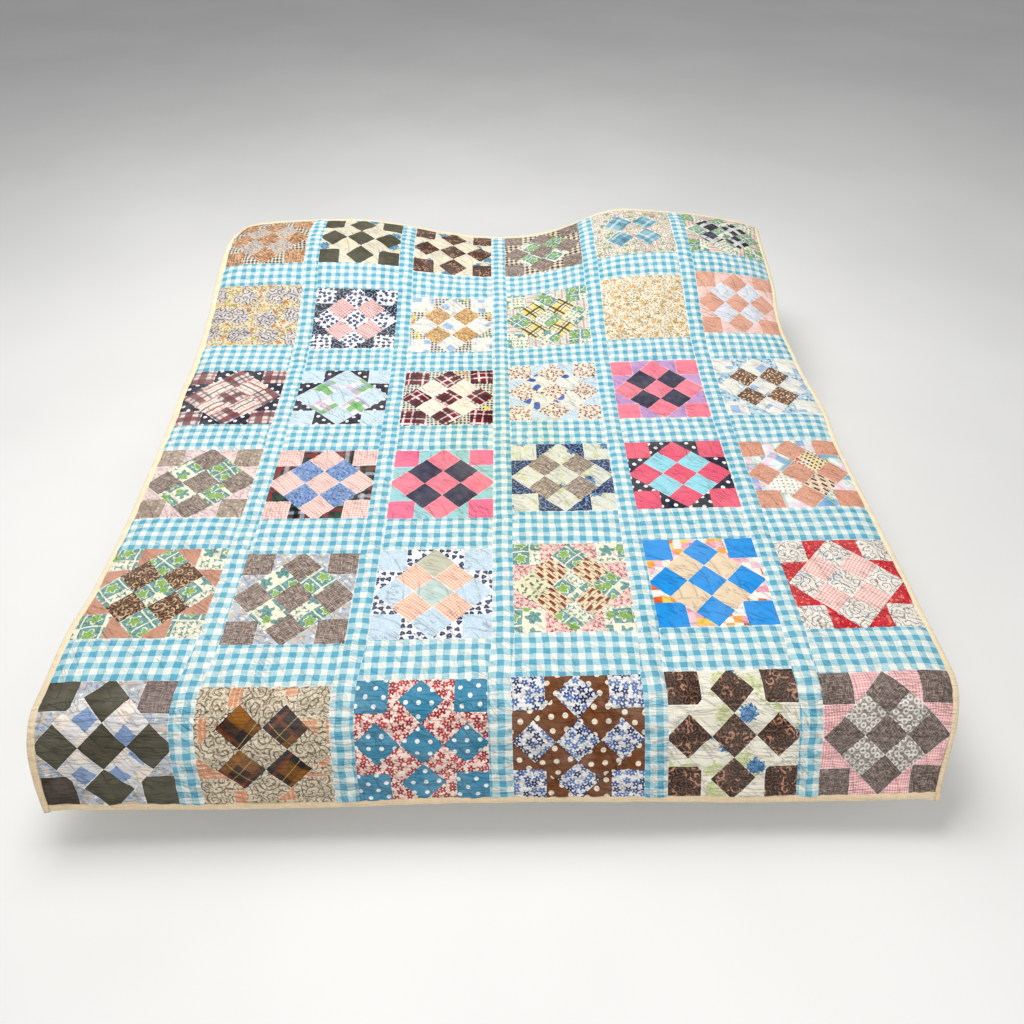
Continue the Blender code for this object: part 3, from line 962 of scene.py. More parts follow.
# ---------------------------------------------------------------- the patchwork blocks
# Thirty-six nine-inch blocks from a scrap bag of dress and shirt cottons. In most of them a nine-patch
# stands on its point, with two triangles and a square in each corner, all sewn by hand a little unevenly.
BLOCK_CELL = 0.0048
NINE_PATCH = (0.503, 0.535)       # from the block's middle to the nine-patch's points, in blocks
CORNER_SQUARE = (0.240, 0.258)    # side of a corner square, in blocks
SEAM_SLIP = 0.006                 # how far a seam may be off its line, in blocks
SEAM_TURN = 0.014                 # and how far it may be turned, in radians
PATCH_TURN = 0.05                 # how far off its grain a patch was cut, in radians
SAME_POINT = 1e-6                 # points closer than this to a cut are on it
PLAID_RIB = 0.0018
LEAF_PANEL = 0.040
LEAF_LIME = (112, 152, 84)


def pick(loom, value, colours):
    """One of several colours, by a value from 0 to 1."""
    found = colours[0]
    for number, colour in enumerate(colours[1:], 1):
        past = loom.above(value, number / len(colours))
        found = loom.mix(past, found, colour)
    return found


def scattered(loom, place, pitch, jumble=0.7):
    """A jumbled grid of spots. Distance and angle from the nearest in pitches, and two random shares."""
    node = loom.tree.nodes.new("ShaderNodeTexVoronoi")
    node.voronoi_dimensions = "2D"
    scaled = loom.arrow("MULTIPLY", place, (1 / pitch, 1 / pitch, 0))
    for socket, value in (("Vector", scaled), ("Scale", 1.0), ("Randomness", jumble)):
        loom.feed(node.inputs[socket], value)
    x, y = loom.parts(loom.arrow("SUBTRACT", scaled, node.outputs["Position"]))
    split = loom.add("SeparateColor", node.outputs["Color"]).node
    return node.outputs["Distance"], loom.sum("ARCTAN2", y, x), split.outputs[0], split.outputs[1]


def petal_shape(loom, distance, angle, luck, size, petals, depth):
    """1 inside a flower with that many petals, turned at random."""
    turn = loom.sum("MULTIPLY_ADD", luck, 2 * math.pi, loom.times(angle, float(petals)))
    edge = loom.sum("MULTIPLY_ADD", loom.sum("COSINE", turn), size * depth, size * (1 - depth))
    return loom.below(distance, edge)


@cloth_print
def plain(loom, place, colour, shade=None, mottle=0.5):
    """One dyed colour, a little uneven: the shade is what it fades or darkens to."""
    deeper = shade or [0.93 * part for part in colour]
    cloud = loom.cloud(place, 0.02, detail=3.0)
    return loom.mix(loom.ramp(cloud, 0.35, 0.75, 0.0, mottle), colour, deeper)


@cloth_print
def tweed(loom, place, dark, light, thread=0.0016):
    """Slubby threads of two tones, woven over and under."""
    warp = loom.cloud(place, thread, 9 * thread, detail=1.0)
    weft = loom.cloud(place, 9 * thread, thread, detail=1.0)
    fleck = loom.most(warp, weft)
    return loom.mix(loom.ramp(fleck, 0.50, 0.66), dark, light)


@cloth_print
def twill(loom, place, dark, light, rib=0.0032):
    """Slanting ribs of two near tones, broken up by wear."""
    across, along = loom.parts(loom.bend(place, 0.012, 0.002))
    slant = loom.wave(loom.plus(across, along), rib)
    wear = loom.cloud(place, 0.006, detail=2.0)
    ribs = loom.times(loom.ramp(slant, -0.6, 0.9), loom.ramp(wear, 0.2, 0.6))
    return loom.mix(ribs, light, dark)


@cloth_print
def mottled(loom, place, colours, size=0.008):
    """Clouds of several colours that run into each other."""
    cloud = loom.ramp(loom.cloud(place, size, detail=2.5), 0.30, 0.70)
    return pick(loom, cloud, colours)


@cloth_print
def plaid(loom, place, ground, woven):
    """Coloured bars both ways. Each is (repeat, start, share of the repeat, colour, strength)."""
    across, along = loom.parts(place)
    colour = ground
    for repeat, start, share, bar, strength in woven:
        warp, weft = (loom.band(way, repeat, share, start) for way in (across, along))
        cover = loom.times(loom.plus(warp, weft), 0.5 * strength)
        colour = loom.mix(cover, colour, bar)
    rib = loom.sum("FRACT", loom.sum("DIVIDE", loom.plus(across, along), PLAID_RIB))
    return loom.mix(loom.times(rib, 0.10), colour, ground)


@cloth_print
def squares(loom, place, colours, size):
    """Squares of random colours, as in a madras check."""
    cell = loom.arrow("FLOOR", loom.arrow("MULTIPLY", place, (1 / size, 1 / size, 0)))
    return pick(loom, loom.add("TexWhiteNoise", cell, out=0, noise_dimensions="2D"), colours)


@cloth_print
def stripes(loom, place, colours, width):
    """Even stripes in turn."""
    across = loom.parts(place)[0]
    return pick(loom, loom.sum("FRACT", loom.sum("DIVIDE", across, width * len(colours))), colours)


@cloth_print
def dots(loom, place, ground, dot, size, pitch):
    """Printed dots in staggered rows."""
    nearest = None
    for shift in (0.0, 0.5):
        moved = loom.arrow("MULTIPLY_ADD", place, (1 / pitch, 1 / pitch, 0), (shift, shift, 0))
        away = loom.arrow("SUBTRACT", loom.arrow("FRACTION", moved), (0.5, 0.5, 0))
        distance = loom.arrow("LENGTH", away, out=1)
        nearest = distance if nearest is None else loom.sum("MINIMUM", nearest, distance)
    inside = loom.below(nearest, size / pitch / 2)
    cloud = loom.cloud(place, 0.02, detail=3.0)
    worn = loom.mix(loom.ramp(cloud, 0.35, 0.75, 0.0, 0.05), ground, dot)
    return loom.mix(inside, worn, dot)


@cloth_print
def rings(loom, place, ground, ring, size, pitch):
    """Printed rings in jumbled rows, with specks between."""
    distance = scattered(loom, place, pitch, 0.35)[0]
    outer = loom.below(distance, size / pitch / 2)
    inner = loom.below(distance, size / pitch / 2 * 0.42)
    speck = loom.below(scattered(loom, place, pitch / 3, 0.9)[0], 0.24)
    shown = loom.most(loom.minus(outer, inner), loom.times(speck, 0.35))
    return loom.mix(loom.times(shown, 0.9), ground, ring)


@cloth_print
def over(loom, place, under, *uppers):
    """Lays prints on a first one: each upper print returns its share and its colour."""
    colour = under(loom, place)
    for upper in uppers:
        share, printed = upper(loom, place)
        colour = loom.mix(share, colour, printed)
    return colour


@cloth_print
def flowers(loom, place, petals, heart, size, pitch, count=5, share=1.0, jumble=0.7, depth=0.24):
    """The upper print of flowers of a few colours, with a heart in each."""
    place = loom.bend(place, 0.5 * size, 0.16 * size)
    distance, angle, luck, odds = scattered(loom, place, pitch, jumble)
    bloom = petal_shape(loom, distance, angle, luck, size / pitch / 2, count, depth)
    shown = loom.times(bloom, loom.below(odds, share))
    middle = loom.below(distance, 0.10 * size / pitch)
    return shown, loom.mix(middle, pick(loom, luck, petals), heart)


@cloth_print
def blossoms(loom, place, colours, size, pitch, share=0.5, strength=1.0):
    """The upper print of full ragged flower heads, streaked with several tones."""
    ragged = loom.bend(loom.bend(place, 0.3 * size, 0.45 * size), 0.09 * size, 0.28 * size)
    distance, angle, luck, odds = scattered(loom, ragged, pitch, 0.9)
    head = petal_shape(loom, distance, angle, luck, size / pitch / 2, 11, 0.14)
    spread = loom.place(loom.times(distance, 5.0), loom.times(angle, 3.0))
    tone = loom.ramp(loom.cloud(spread, 1.0, detail=2.0), 0.32, 0.68)
    shown = loom.times(head, loom.below(odds, share))
    return loom.times(shown, strength), pick(loom, tone, colours)


@cloth_print
def in_places(loom, place, upper, size, share):
    """The same upper print, but only in cloudy places of that size."""
    shown, colour = upper(loom, place)
    cloud = loom.cloud(place, size, detail=1.5)
    return loom.times(shown, loom.ramp(cloud, 0.60 - 0.2 * share, 0.66 - 0.2 * share)), colour


@cloth_print
def sprigs(loom, place, colours, size, pitch, share=0.8, petals=3, jumble=0.95):
    """The upper print of small uneven blots of a few colours, such as leaves and buds."""
    place = loom.bend(place, 0.8 * size, 0.7 * size)
    distance, angle, luck, odds = scattered(loom, place, pitch, jumble)
    blot = petal_shape(loom, distance, angle, luck, size / pitch / 2, petals, 0.30)
    return loom.times(blot, loom.below(odds, share)), pick(loom, luck, colours)


@cloth_print
def scrolls(loom, place, colour, pitch, turns=2.6, share=0.34):
    """The upper print of curling lines: a small spiral in each spot."""
    place = loom.bend(place, 0.6 * pitch, 0.6 * pitch)
    distance, angle, luck, _ = scattered(loom, place, pitch, 0.95)
    curl = loom.sum("MULTIPLY_ADD", distance, turns, loom.times(angle, 0.5 / math.pi))
    line = loom.below(loom.sum("FRACT", loom.plus(curl, luck)), share)
    return line, colour


@cloth_print
def dashes(loom, place, colour, length, width, pitch):
    """The upper print of short strokes in rows, each row a little further on."""
    across, along = loom.parts(place)
    row = loom.sum("FLOOR", loom.sum("DIVIDE", along, pitch))
    moved = loom.sum("MULTIPLY_ADD", row, 0.39 * length * 2, across)
    stroke = loom.band(moved, length * 1.9, 0.53)
    line = loom.band(along, pitch, width / pitch)
    lumpy = loom.ramp(loom.cloud(place, 0.003), 0.2, 0.36)
    return loom.times(stroke, line, lumpy), colour


@cloth_print
def bars(loom, place, colour, length, width, spacing):
    """The upper print of loose oblongs, each on its own place in a check."""
    across, along = loom.parts(place)
    cell = loom.arrow("FLOOR", loom.arrow("MULTIPLY", place, (1 / spacing, 1 / spacing, 0)))
    luck = loom.add("TexWhiteNoise", cell, out=0, noise_dimensions="2D")
    shown = loom.band(across, spacing, length / spacing, 0.2)
    shown = loom.times(shown, loom.band(along, spacing, width / spacing, 0.35))
    return loom.times(shown, loom.below(luck, 0.75)), colour


@cloth_print
def medallions(loom, place, inside, outside, pitch, size):
    """One print in ragged round medallions, and another between them."""
    distance = scattered(loom, loom.bend(place, 0.4 * size, 0.6 * size), pitch, 0.4)[0]
    return loom.mix(loom.below(distance, size / pitch / 2), outside(loom, place), inside(loom, place))


@cloth_print
def leaf_panels(loom, place, cream, teal, dark, lime):
    """Hand-sized panels in turn: a lime leaf on teal, a teal leaf on cream, and rows of small leaves."""
    scaled = loom.arrow("MULTIPLY", loom.bend(place, 0.020, 0.006), (1 / LEAF_PANEL, 1 / LEAF_PANEL, 0))
    panel_luck = loom.add("TexWhiteNoise", loom.arrow("FLOOR", scaled), noise_dimensions="2D")
    on_teal = loom.below(panel_luck, 0.54)
    in_rows = loom.above(panel_luck, 0.80)
    inside = loom.arrow("SUBTRACT", loom.arrow("FRACTION", scaled), (0.5, 0.5, 0))
    x, y = loom.parts(loom.arrow("ABSOLUTE", inside))
    framed = loom.below(loom.most(x, y), 0.46)
    panel = loom.times(on_teal, framed)

    ragged_x, ragged_y = loom.parts(loom.bend(inside, 0.16, 0.22))
    angle = loom.sum("ARCTAN2", ragged_y, ragged_x)
    away = loom.arrow("LENGTH", loom.place(ragged_x, ragged_y), out=1)
    turn = loom.times(panel_luck, 5.0)
    leaf = petal_shape(loom, away, angle, turn, 0.43, 5, 0.22)
    broad = loom.times(leaf, loom.minus(1.0, in_rows))
    rim = petal_shape(loom, away, angle, turn, 0.37, 5, 0.20)
    lime_leaf = petal_shape(loom, away, angle, turn, 0.31, 5, 0.22)
    distance, angle, luck, _ = scattered(loom, loom.bend(place, 0.008, 0.003), 0.0125, 0.3)
    small = loom.times(petal_shape(loom, distance, angle, luck, 0.42, 3, 0.35), in_rows)
    distance, angle, luck, odds = scattered(loom, loom.bend(place, 0.008, 0.006), 0.036, 0.9)
    tuft = petal_shape(loom, distance, angle, luck, 0.26, 7, 0.12)
    tuft = loom.times(tuft, loom.above(odds, 0.70))

    strokes = loom.ramp(loom.cloud(place, 0.0035, 0.0060, detail=2.0), 0.42, 0.62, 0.0, 0.7)
    leafy = loom.mix(strokes, teal, dark)
    limes = loom.mix(strokes, lime, LEAF_LIME)
    on_cream = loom.mix(loom.most(broad, small), cream, leafy)
    in_panel = loom.mix(lime_leaf, loom.mix(rim, leafy, cream), limes)
    return loom.mix(tuft, loom.mix(panel, on_cream, in_panel), limes)


CREAM = (227, 218, 194)
scrolled_tan = over(
    plain((221, 208, 183)),
    scrolls((168, 150, 118), 0.015, 2.2, 0.28),
    scrolls((122, 104, 84), 0.027, 2.8, 0.25),
)

# Every cotton in the scrap bag, by name.
SCRAPS = {
    "aqua": plain((154, 204, 207)),
    "beige": plain((232, 207, 174)),
    "beige_sprigs": over(
        plain((166, 148, 132)), sprigs([(206, 192, 176), (132, 112, 100)], 0.0065, 0.0085)
    ),
    "black_confetti": over(
        gingham((222, 220, 208), (192, 188, 176), (34, 30, 32), 0.0098),
        sprigs([(232, 214, 84), (226, 148, 76), (104, 156, 108)], 0.020, 0.030, 0.55),
    ),
    "black_dots": dots((32, 30, 52), (244, 242, 236), 0.0094, 0.031),
    "black_mini_check": gingham((232, 222, 202), (160, 150, 136), (44, 38, 38), 0.0105),
    "blue_blossoms": over(
        plain(CREAM),
        sprigs([(222, 206, 150), (230, 218, 176)], 0.020, 0.034, 0.6),
        blossoms([(58, 104, 150), (90, 142, 176), (130, 176, 194)], 0.036, 0.052, 0.6),
    ),
    "blue_crescents": over(
        plain((226, 226, 216)),
        flowers([(66, 92, 164), (82, 106, 176)], (60, 84, 156), 0.030, 0.042, 2, 0.75),
    ),
    "blue_florets": over(
        plain((234, 232, 228)),
        sprigs([(160, 170, 192), (196, 186, 190)], 0.006, 0.0085),
        flowers([(58, 84, 140), (38, 50, 96), (92, 122, 176)], (206, 210, 224), 0.0150, 0.0150),
    ),
    "blue_grey_sprigs": over(
        plain((188, 192, 196)),
        sprigs([(224, 190, 158), (148, 166, 194), (232, 230, 222), (172, 158, 146)], 0.010, 0.0105, 0.95),
    ),
    "blue_oblongs": over(
        plain((234, 231, 219)),
        bars((220, 218, 218), 0.040, 0.034, 0.056),
        bars((158, 186, 214), 0.030, 0.0210, 0.056),
    ),
    "blue_pink_plaid": plaid((226, 237, 228), [
        (0.085, 0.0, 0.22, (104, 158, 210), 1.7),
        (0.085, 0.45, 0.20, (238, 200, 216), 1.3),
        (0.085, 0.80, 0.06, (136, 190, 146), 1.2),
    ]),
    "blue_plaid": plaid((138, 182, 194), [
        (0.072, 0.0, 0.24, (76, 118, 140), 1.3),
        (0.072, 0.45, 0.10, (206, 220, 218), 1.5),
        (0.072, 0.62, 0.12, (86, 140, 166), 1.2),
    ]),
    "bright_blue": plain((32, 146, 224)),
    "brown_check": gingham((232, 222, 200), (172, 150, 128), (40, 29, 28), 0.0150),
    "brown_dots": dots((112, 60, 22), (238, 226, 204), 0.0100, 0.0345),
    "brown_mottle": over(
        mottled([(90, 60, 44), (146, 104, 74), (62, 44, 36), (124, 88, 62)], 0.006),
        sprigs([(232, 210, 176), (202, 166, 128)], 0.0062, 0.0078, 0.75, 2),
    ),
    "brown_plaid": plaid((48, 31, 17), [
        (0.088, 0.0, 0.36, (146, 92, 30), 1.3),
        (0.088, 0.60, 0.26, (26, 26, 38), 1.5),
        (0.088, 0.40, 0.07, (136, 58, 28), 1.1),
        (0.088, 0.16, 0.014, (226, 190, 110), 1.2),
    ]),
    "brown_lattice": over(
        mottled([(58, 36, 28), (88, 58, 44), (42, 29, 25), (104, 72, 54)], 0.006),
        scrolls((150, 112, 86), 0.014, 2.4, 0.26),
        in_places(scrolls((206, 176, 140), 0.016, 2.0, 0.32), 0.018, 0.8),
    ),
    "brown_scrolls": scrolled_tan,
    "brown_tweed": tweed((108, 90, 86), (158, 140, 134), 0.0018),
    "candy_squares": squares([
        (238, 233, 222), (232, 160, 176), (238, 234, 224), (240, 200, 88),
        (228, 104, 44), (236, 190, 200), (238, 232, 220), (238, 162, 72),
    ], 0.0165),
    "charcoal": plain((55, 54, 75), (98, 95, 112), 0.40),
    "copper_paisley": over(
        mottled([(44, 31, 28), (66, 46, 38), (36, 26, 25), (82, 58, 48)], 0.006),
        scrolls((118, 84, 66), 0.015, 2.6, 0.26),
        in_places(scrolls((184, 134, 108), 0.019, 2.0, 0.32), 0.028, 0.55),
    ),
    "coral_pink": plain((240, 124, 143), (250, 190, 190), 0.12),
    "coral_stripes": stripes([(216, 216, 204), (208, 156, 150), (216, 216, 204), (208, 206, 190)], 0.0046),
    "cream": over(plain(CREAM), sprigs([(236, 220, 172), (240, 228, 192)], 0.020, 0.036, 0.5)),
    "cream_brown_dashes": over(
        plain((236, 216, 188)),
        dashes((168, 136, 104), 0.009, 0.0018, 0.006),
        dashes((92, 40, 32), 0.014, 0.0056, 0.0115),
    ),
    "cream_tan_dots": dots((244, 241, 228), (166, 162, 146), 0.0046, 0.0150),
    "crimson_flowers": over(
        plain((246, 222, 206)),
        sprigs([(226, 146, 144), (206, 100, 102)], 0.007, 0.0095, 0.9),
        flowers([(172, 50, 62), (188, 66, 76), (154, 42, 54)], (240, 200, 176), 0.0148, 0.0156),
    ),
    "crimson_mottle": mottled([(200, 26, 46), (220, 44, 60), (152, 12, 32), (236, 112, 100)], 0.008),
    "crimson_rose": over(plain((236, 98, 122)), dashes((206, 66, 96), 0.004, 0.0016, 0.0042)),
    "dark_brown": plain((54, 40, 32), (88, 70, 56), 0.30),
    "dark_olive": plain((72, 69, 54), (104, 98, 80), 0.35),
    "faint_tan": over(plain((219, 212, 190)), sprigs([(216, 196, 148), (224, 208, 168)], 0.016, 0.024, 0.7)),
    "gold_scatter": over(
        plain((234, 224, 198)),
        sprigs([(146, 118, 80), (174, 142, 100), (200, 172, 130)], 0.0060, 0.0072, 0.9),
        sprigs([(206, 154, 80), (172, 152, 90), (216, 176, 106)], 0.015, 0.024, 0.8, 4),
    ),
    "golden_tan": over(
        plain((202, 160, 106)), sprigs([(236, 212, 166), (138, 98, 62), (150, 108, 70)], 0.0062, 0.0078, 0.95)
    ),
    "green_pink_plaid": plaid((228, 232, 224), [
        (0.074, 0.10, 0.26, (104, 172, 90), 1.7),
        (0.074, 0.44, 0.22, (212, 164, 196), 1.2),
        (0.080, 0.74, 0.16, (156, 160, 208), 1.1),
    ]),
    "green_sprays": over(
        plain((238, 232, 214)),
        blossoms([(196, 206, 132), (220, 222, 172), (176, 192, 106)], 0.050, 0.058, 0.7, 0.75),
        blossoms([(36, 92, 146), (70, 132, 180), (120, 172, 204), (44, 80, 130)], 0.036, 0.066, 0.42),
    ),
    "greige": plain((198, 196, 172)),
    "grey_green": plain((194, 212, 204)),
    "grey_rings": rings((148, 138, 131), (232, 225, 214), 0.0112, 0.0125),
    "grey_tweed": tweed((86, 72, 67), (164, 146, 136), 0.0013),
    "hot_pink": plain((238, 118, 148)),
    "leaf_dots": over(
        plain((232, 224, 188)), sprigs([(106, 134, 90), (96, 126, 92)], 0.0100, 0.0145, 1.0, 2, 0.45)
    ),
    "light_blue": over(plain((196, 216, 228)), sprigs([(222, 231, 236)], 0.004, 0.008)),
    "light_cyan": plain((150, 214, 226)),
    "light_pink": over(plain((237, 198, 187)), sprigs([(247, 214, 208)], 0.004, 0.007)),
    "lilac": plain((194, 150, 198)),
    "maroon_grey_plaid": plaid((226, 206, 196), [
        (0.060, 0.0, 0.24, (112, 34, 46), 1.8),
        (0.060, 0.30, 0.10, (70, 62, 76), 1.5),
        (0.060, 0.52, 0.10, (146, 84, 88), 1.3),
        (0.060, 0.76, 0.06, (70, 62, 76), 1.6),
    ]),
    "maroon_grey_stripe": over(
        stripes([
            (238, 228, 212), (228, 190, 178), (238, 228, 212), (140, 128, 132),
            (238, 228, 212), (226, 208, 194), (186, 120, 118),
        ], 0.0056),
        dashes((160, 144, 146), 0.020, 0.0020, 0.023),
    ),
    "maroon_plaid": plaid((122, 20, 36), [
        (0.056, 0.30, 0.10, (238, 230, 226), 1.9),
        (0.056, 0.0, 0.14, (38, 24, 34), 1.6),
        (0.056, 0.64, 0.07, (232, 214, 212), 1.5),
        (0.056, 0.80, 0.10, (44, 28, 38), 1.5),
    ]),
    "navy_bars": plaid((34, 33, 48), [
        (0.060, 0.0, 0.22, (222, 222, 216), 1.8),
        (0.060, 0.55, 0.10, (88, 76, 112), 1.3),
    ]),
    "navy_flowers": over(
        plain((243, 242, 241)),
        sprigs([(120, 130, 170)], 0.0045, 0.0100, 0.5),
        flowers([(62, 73, 108), (48, 58, 88)], (124, 132, 162), 0.0122, 0.0145, 3, 0.98, 0.5, 0.15),
    ),
    "navy_print": over(
        plain((44, 52, 84)),
        scrolls((112, 142, 184), 0.020, 2.4, 0.26),
        sprigs([(150, 172, 200)], 0.005, 0.012, 0.5),
    ),
    "navy_sprigs": over(
        plain((30, 37, 54)),
        sprigs([(24, 28, 44), (76, 90, 116)], 0.0062, 0.0110, 0.6),
        scrolls((148, 160, 178), 0.021, 2.2, 0.22),
    ),
    "orange_bands": over(
        scrolled_tan,
        bars((216, 150, 112), 0.062, 0.064, 0.078),
        bars((228, 202, 172), 0.0030, 0.0070, 0.0088),
    ),
    "pale_blue": over(plain((200, 219, 227)), sprigs([(224, 232, 234), (178, 200, 210)], 0.0040, 0.0065)),
    "pale_blue_bars": gingham((240, 226, 212), (219, 218, 217), (132, 157, 194), 0.060),
    "pale_lilac": over(plain((218, 220, 228)), sprigs([(204, 206, 218), (234, 233, 234)], 0.0045, 0.007)),
    "pale_lilac_floral": over(
        plain((204, 190, 174)),
        scrolls((146, 134, 134), 0.016, 2.2, 0.30),
        sprigs([(206, 168, 124), (170, 176, 200)], 0.009, 0.013, 0.7),
    ),
    "peach_cream": over(plain((245, 234, 217)), scrolls((236, 212, 190), 0.022, 2.2, 0.20)),
    "peach_gingham": gingham((246, 226, 208), (243, 190, 162), (232, 150, 124), 0.0056),
    "periwinkle": over(
        plain((122, 150, 196)), sprigs([(60, 80, 130), (78, 98, 148), (164, 186, 220)], 0.0056, 0.0070)
    ),
    "pink_check": gingham((243, 226, 214), (237, 192, 182), (224, 156, 150), 0.0064),
    "pink_green_stripe": stripes([
        (232, 162, 172), (226, 216, 196), (136, 168, 130), (226, 216, 196),
    ], 0.0062),
    "pink_sprigs": over(plain((228, 208, 202)), sprigs([(208, 146, 152), (192, 164, 166)], 0.0060, 0.0080)),
    "pink_gingham": gingham((247, 218, 212), (240, 180, 178), (226, 140, 146), 0.0050),
    "red_brown_florets": over(
        plain((236, 222, 204)), sprigs([(116, 60, 54), (92, 50, 48), (150, 90, 72)], 0.0080, 0.0098, 0.95)
    ),
    "rose_sprigs": over(
        plain((232, 204, 190)),
        sprigs([(182, 76, 90), (198, 104, 112), (216, 148, 144)], 0.0080, 0.0086, 0.97),
    ),
    "rust_dashes": over(
        plain((230, 210, 172)),
        dashes((132, 112, 76), 0.010, 0.0020, 0.006),
        dashes((136, 50, 38), 0.016, 0.0064, 0.0122),
    ),
    "rose_check": gingham((238, 216, 208), (228, 180, 174), (204, 132, 138), 0.0074),
    "rust_weave": tweed((148, 98, 64), (226, 186, 146), 0.0026),
    "salmon": twill((166, 108, 84), (208, 156, 132), 0.0036),
    "salmon_pale": twill((184, 124, 98), (236, 180, 156), 0.0036),
    "salmon_twill": twill((168, 100, 80), (232, 172, 144)),
    "scroll_medallions": medallions(
        over(
            plain((214, 205, 196)),
            scrolls((104, 98, 106), 0.023, 2.4, 0.34),
            sprigs([(158, 168, 190), (178, 156, 146)], 0.009, 0.014, 0.45),
        ),
        over(
            plain((222, 210, 178)),
            sprigs([(108, 92, 54), (148, 126, 66), (170, 124, 74)], 0.0066, 0.0082, 0.9),
            sprigs([(196, 124, 68), (168, 162, 76), (214, 176, 100)], 0.016, 0.024, 0.8, 4),
        ),
        0.072, 0.058,
    ),
    "silver_scrolls": over(
        plain((237, 230, 217)),
        scrolls((146, 140, 138), 0.023, 2.6, 0.22),
        in_places(scrolls((112, 134, 180), 0.028, 2.2, 0.18), 0.030, 0.3),
        sprigs([(168, 150, 130)], 0.0095, 0.022, 0.5, 2),
    ),
    "tan_sprigs": over(
        plain((228, 220, 202)),
        scrolls((150, 136, 126), 0.019, 2.4, 0.26),
        sprigs([(142, 168, 112), (204, 166, 150), (122, 152, 128)], 0.017, 0.024, 0.7),
    ),
    "tartan": plaid((40, 42, 46), [
        (0.070, 0.0, 0.30, (34, 74, 54), 1.5),
        (0.070, 0.36, 0.16, (146, 44, 44), 1.4),
        (0.070, 0.60, 0.14, (184, 186, 194), 1.2),
        (0.070, 0.80, 0.14, (16, 16, 26), 1.8),
    ]),
    "taupe_twill": tweed((126, 110, 99), (198, 184, 168), 0.0018),
    "taupe_weave": tweed((110, 94, 87), (182, 164, 151), 0.0018),
    "teal_dots": dots((56, 134, 166), (240, 242, 240), 0.0080, 0.0315),
    "teal_leaf": leaf_panels((236, 229, 204), (118, 165, 162), (76, 112, 100), (144, 182, 92)),
    "teal_sprigs": over(
        plain((186, 208, 218)),
        sprigs([(96, 144, 176), (232, 236, 234), (126, 172, 190)], 0.0100, 0.0115, 0.95),
    ),
    "yellow_blue_blossoms": over(
        plain((220, 221, 206)),
        sprigs([(206, 206, 158), (204, 208, 168)], 0.022, 0.034, 0.7),
        blossoms([(58, 94, 142), (92, 136, 180), (140, 176, 200), (44, 66, 116)], 0.036, 0.056, 0.5),
    ),
    "yellow_plaid": plaid((228, 202, 106), [
        (0.036, 0.42, 0.34, (234, 226, 200), 1.4),
        (0.036, 0.0, 0.17, (34, 34, 34), 1.9),
        (0.036, 0.25, 0.08, (50, 48, 44), 1.7),
    ]),
    "yellow_red_print": over(
        plain((242, 218, 168)),
        sprigs([(236, 230, 222), (232, 196, 176)], 0.034, 0.038, 0.8),
        dashes((34, 30, 34), 0.0050, 0.0050, 0.0110),
        sprigs([(214, 66, 56)], 0.015, 0.026, 0.6),
    ),
}

# The blocks from the foot row up and from left to right. Each names the cottons of its nine-patch's middle
# and points, of the four squares between them, of its triangles, and of its corner squares if they differ.
# A block of one name is a whole piece of cloth.
BLOCK_ROWS = (
    (
        ("dark_olive", "pale_blue_bars", "blue_grey_sprigs"),
        ("brown_scrolls", "brown_plaid", "orange_bands", "brown_scrolls"),
        ("teal_dots", "crimson_flowers", "crimson_flowers"),
        ("blue_florets", "brown_dots", "brown_dots"),
        ("copper_paisley", "green_sprays", "green_sprays"),
        ("grey_tweed", "grey_rings", "pink_gingham"),
    ),
    (
        ("teal_leaf", "brown_lattice", "salmon"),
        ("taupe_weave", "teal_leaf", "blue_grey_sprigs"),
        ("light_blue", "peach_gingham", "navy_flowers"),
        ("teal_leaf", "rust_dashes", "rose_sprigs"),
        ("bright_blue", "beige", "candy_squares"),
        ("silver_scrolls", "pink_check", "crimson_mottle"),
    ),
    (
        ("taupe_weave", "teal_leaf", "pink_sprigs", "beige_sprigs"),
        ("pink_check", "periwinkle", "tartan"),
        ("coral_pink", "charcoal", "aqua", "hot_pink"),
        ("yellow_blue_blossoms", "taupe_twill", "navy_print"),
        ("crimson_rose", "light_cyan", "black_dots"),
        ("salmon_twill", "blue_pink_plaid", "blue_pink_plaid"),
    ),
    (
        ("maroon_grey_plaid", "maroon_grey_stripe", "black_dots"),
        ("pale_blue", "green_pink_plaid", "black_dots"),
        ("maroon_plaid", "peach_cream", "black_confetti"),
        ("red_brown_florets", "blue_crescents", "light_blue"),
        ("coral_pink", "charcoal", "lilac"),
        ("blue_oblongs", "brown_mottle", "teal_sprigs"),
    ),
    (
        ("scroll_medallions",),
        ("navy_flowers", "rose_check", "navy_sprigs"),
        ("blue_oblongs", "golden_tan", "black_confetti"),
        ("teal_leaf", "yellow_plaid", "coral_stripes"),
        ("gold_scatter",),
        ("salmon_pale", "pale_lilac", "light_pink"),
    ),
    (
        ("rust_weave", "pale_lilac_floral", "black_mini_check"),
        ("dark_olive", "faint_tan", "blue_blossoms"),
        ("copper_paisley", "cream", "blue_blossoms"),
        ("taupe_weave", "teal_leaf", "brown_check"),
        ("tan_sprigs", "blue_plaid", "tan_sprigs"),
        ("teal_leaf", "navy_bars", "pink_green_stripe"),
    ),
)
# Single patches that the maker cut from another cotton: (row from the foot, column, patch): cotton.
ODD_PATCHES = {
    (1, 1, "upper right corner"): "brown_tweed",
    (1, 1, "lower left corner"): "dark_brown",
    (2, 3, "top"): "greige",
    (2, 3, "middle"): "grey_green",
    (2, 4, "left"): "leaf_dots",
    (3, 6, "upper right"): "yellow_red_print",
    (3, 6, "lower left"): "cream_tan_dots",
    (3, 6, "lower right"): "cream_brown_dashes",
}
